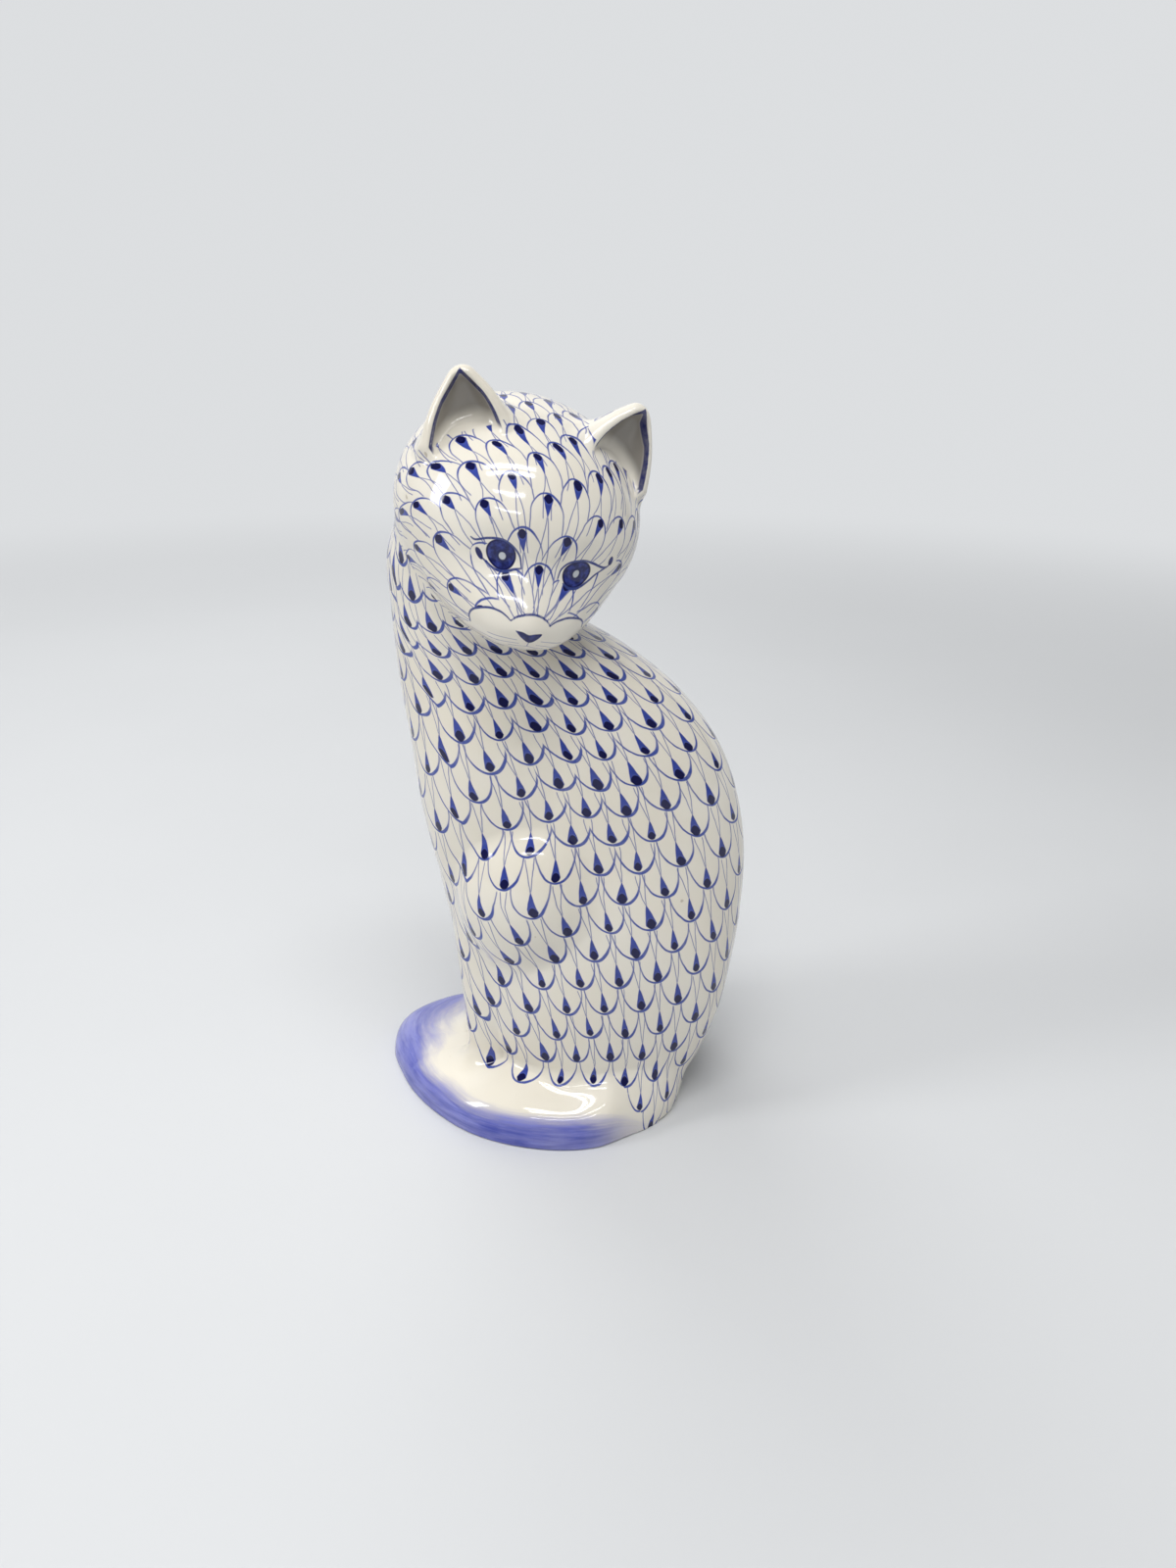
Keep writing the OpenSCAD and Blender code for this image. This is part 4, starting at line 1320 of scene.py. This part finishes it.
class PORCELAIN_OT_stage(PorcelainOperator):
    """Sets the table, the backdrop, the lamps and the camera"""

    bl_idname = "porcelain.stage"
    bl_label = "Studio"

    def execute(self, context):
        studio = context.scene.porcelain_studio
        self.floor(studio)
        self.lamps()
        self.camera(studio)
        self.room(context)
        context.scene.view_settings.view_transform = "Standard"
        return {"FINISHED"}

    def room(self, context):
        """Soft light from all round, and a bare bright backdrop where the camera looks past the table."""
        world = bpy.data.worlds.new("room") if not context.scene.world else context.scene.world
        context.scene.world = world
        world.use_nodes = True
        tree = world.node_tree
        tree.nodes.clear()
        room = add_node(tree, "Background", {"Color": (0.86, 0.88, 0.90, 1), "Strength": 0.25})
        seen = add_node(tree, "Background", {"Color": GLOW, "Strength": 1.0})
        direct = add_node(tree, "LightPath").outputs["Is Camera Ray"]
        mix = add_node(tree, "MixShader", (direct, room.outputs[0], seen.outputs[0]))
        add_node(tree, "OutputWorld", [mix.outputs[0]])

    def floor(self, studio):
        """A table that sweeps up into the backdrop."""
        front, back, bend, top, half = 3.0, -1.9, 0.8, 3.2, 3.5
        profile = [(front, 0.0), (back, 0.0)]
        for k in range(1, 13):
            a = k / 12 * math.pi / 2
            profile.append((back - bend * math.sin(a), bend * (1 - math.cos(a))))
        profile.append((back - bend, top))
        verts = [(x, y, z) for x, z in profile for y in (-half, half)]
        faces = [(2 * k, 2 * k + 1, 2 * k + 3, 2 * k + 2) for k in range(len(profile) - 1)]
        mesh = bpy.data.meshes.new("table")
        mesh.from_pydata(verts, [], faces)
        mesh.polygons.foreach_set("use_smooth", [True] * len(mesh.polygons))
        table = bpy.data.objects.new("table", mesh)
        bpy.context.scene.collection.objects.link(table)
        material, tree, shader = new_material("table_paper")
        soft = cloud(tree, place(tree), 3.0, 3)
        light = tuple(studio.table)
        colour = blend(tree, tuple(c * 0.97 for c in light), light, soft.ramp(0.3, 0.7))
        feed(tree, shader.inputs["Base Color"], colour)
        shader.inputs["Roughness"].default_value = 0.75
        # the far table shines by itself, so that it runs into the backdrop
        glow = add_node(tree, "Emission", {"Color": GLOW})
        path = add_node(tree, "LightPath")
        seen = Wire(tree, path.outputs["Is Camera Ray"]).larger(path.outputs["Is Glossy Ray"])
        x, y, _ = split(tree, place(tree))
        far = (x * x + y * y).root().ramp(0.3, 1.6)
        mix = add_node(tree, "MixShader", (seen * far, shader.outputs[0], glow.outputs[0]))
        out = next(node for node in tree.nodes if node.type == "OUTPUT_MATERIAL")
        feed(tree, out.inputs[0], mix.outputs[0])
        mesh.materials.append(material)

    def lamps(self):
        # name, place, aimed at, size, watts, seen in the glaze
        for name, at, to, size, power, seen in (
            ("ceiling", (0.1, -0.3, 1.6), (0, 0, 0.1), (1.1, 1.1), 8.0, False),
            ("tube_near", (0.64, -0.02, 1.5), (0, 0, 0.2), (0.9, 0.08), 4.2, True),
            ("tube_far", (0.48, -0.02, 1.5), (0, 0, 0.2), (0.9, 0.08), 4.2, True),
            ("tube_mid", (0.98, -0.08, 1.32), (0, 0, 0.1), (0.7, 0.05), 1.6, True),
            ("tube_low", (1.15, -0.15, 1.0), (0, 0, 0.1), (0.8, 0.05), 2.2, True),
            ("window", (0.2, -1.3, 0.85), (0, 0, 0.13), (0.35, 0.6), 7.0, True),
            ("fill", (0.9, 0.9, 0.7), (0, 0, 0.13), (1.0, 1.0), 1.4, False),
            ("back", (-0.9, -0.3, 0.9), (0, 0, 0.13), (0.8, 0.8), 5.5, False),
        ):
            lamp = bpy.data.lights.new(name, "AREA")
            lamp.shape = "RECTANGLE"
            lamp.size, lamp.size_y = size
            lamp.energy = power
            piece = bpy.data.objects.new(name, lamp)
            piece.location = at
            piece.rotation_euler = (Vector(to) - Vector(at)).to_track_quat("-Z", "Y").to_euler()
            piece.visible_glossy = seen
            bpy.context.scene.collection.objects.link(piece)

    def camera(self, studio):
        lens = bpy.data.cameras.new("camera")
        lens.lens = studio.lens
        lens.sensor_width = 36.0
        lens.clip_start = 0.01
        piece = bpy.data.objects.new("camera", lens)
        p, h = studio.pitch, studio.heading
        look = Vector((math.cos(h) * math.cos(p), math.sin(h) * math.cos(p), -math.sin(p)))
        right = look.cross(Vector((0, 0, 1))).normalized()
        up = right.cross(look)
        r = studio.roll
        right, up = right * math.cos(r) + up * math.sin(r), up * math.cos(r) - right * math.sin(r)
        turn = Matrix((right, up, -look)).transposed().to_4x4()
        piece.matrix_world = Matrix.Translation(Vector(studio.eye)) @ turn
        bpy.context.scene.collection.objects.link(piece)
        bpy.context.scene.camera = piece


class PORCELAIN_PT_panel(bpy.types.Panel):
    """Lists the pieces of the cat in the order they are made"""

    bl_idname = "PORCELAIN_PT_panel"
    bl_label = "Porcelain Cat"
    bl_space_type = "VIEW_3D"
    bl_region_type = "UI"
    bl_category = "Porcelain"

    def draw(self, context):
        column = self.layout.column(align=True)
        for operator in OPERATORS:
            column.operator(operator.bl_idname)
        for group in ("porcelain_form", "porcelain_paint", "porcelain_studio"):
            box = self.layout.box()
            settings = getattr(context.scene, group)
            for label in settings.__annotations__:
                box.prop(settings, label)


SETTINGS = {
    "porcelain_form": PORCELAIN_PG_form,
    "porcelain_paint": PORCELAIN_PG_paint,
    "porcelain_studio": PORCELAIN_PG_studio,
}
OPERATORS = (
    PORCELAIN_OT_torso,
    PORCELAIN_OT_head,
    PORCELAIN_OT_ears,
    PORCELAIN_OT_tail,
    PORCELAIN_OT_base_plate,
    PORCELAIN_OT_stage,
)


def register():
    for group in SETTINGS.values():
        bpy.utils.register_class(group)
    for name, group in SETTINGS.items():
        setattr(bpy.types.Scene, name, bpy.props.PointerProperty(type=group))
    for operator in OPERATORS:
        bpy.utils.register_class(operator)
    bpy.utils.register_class(PORCELAIN_PT_panel)


def unregister():
    bpy.utils.unregister_class(PORCELAIN_PT_panel)
    for operator in reversed(OPERATORS):
        bpy.utils.unregister_class(operator)
    for name, group in SETTINGS.items():
        delattr(bpy.types.Scene, name)
        bpy.utils.unregister_class(group)


def main():
    register()
    bpy.ops.porcelain.torso()
    bpy.ops.porcelain.head()
    bpy.ops.porcelain.ears()
    bpy.ops.porcelain.tail()
    bpy.ops.porcelain.base_plate()
    bpy.ops.porcelain.stage()


if __name__ == "__main__":
    main()
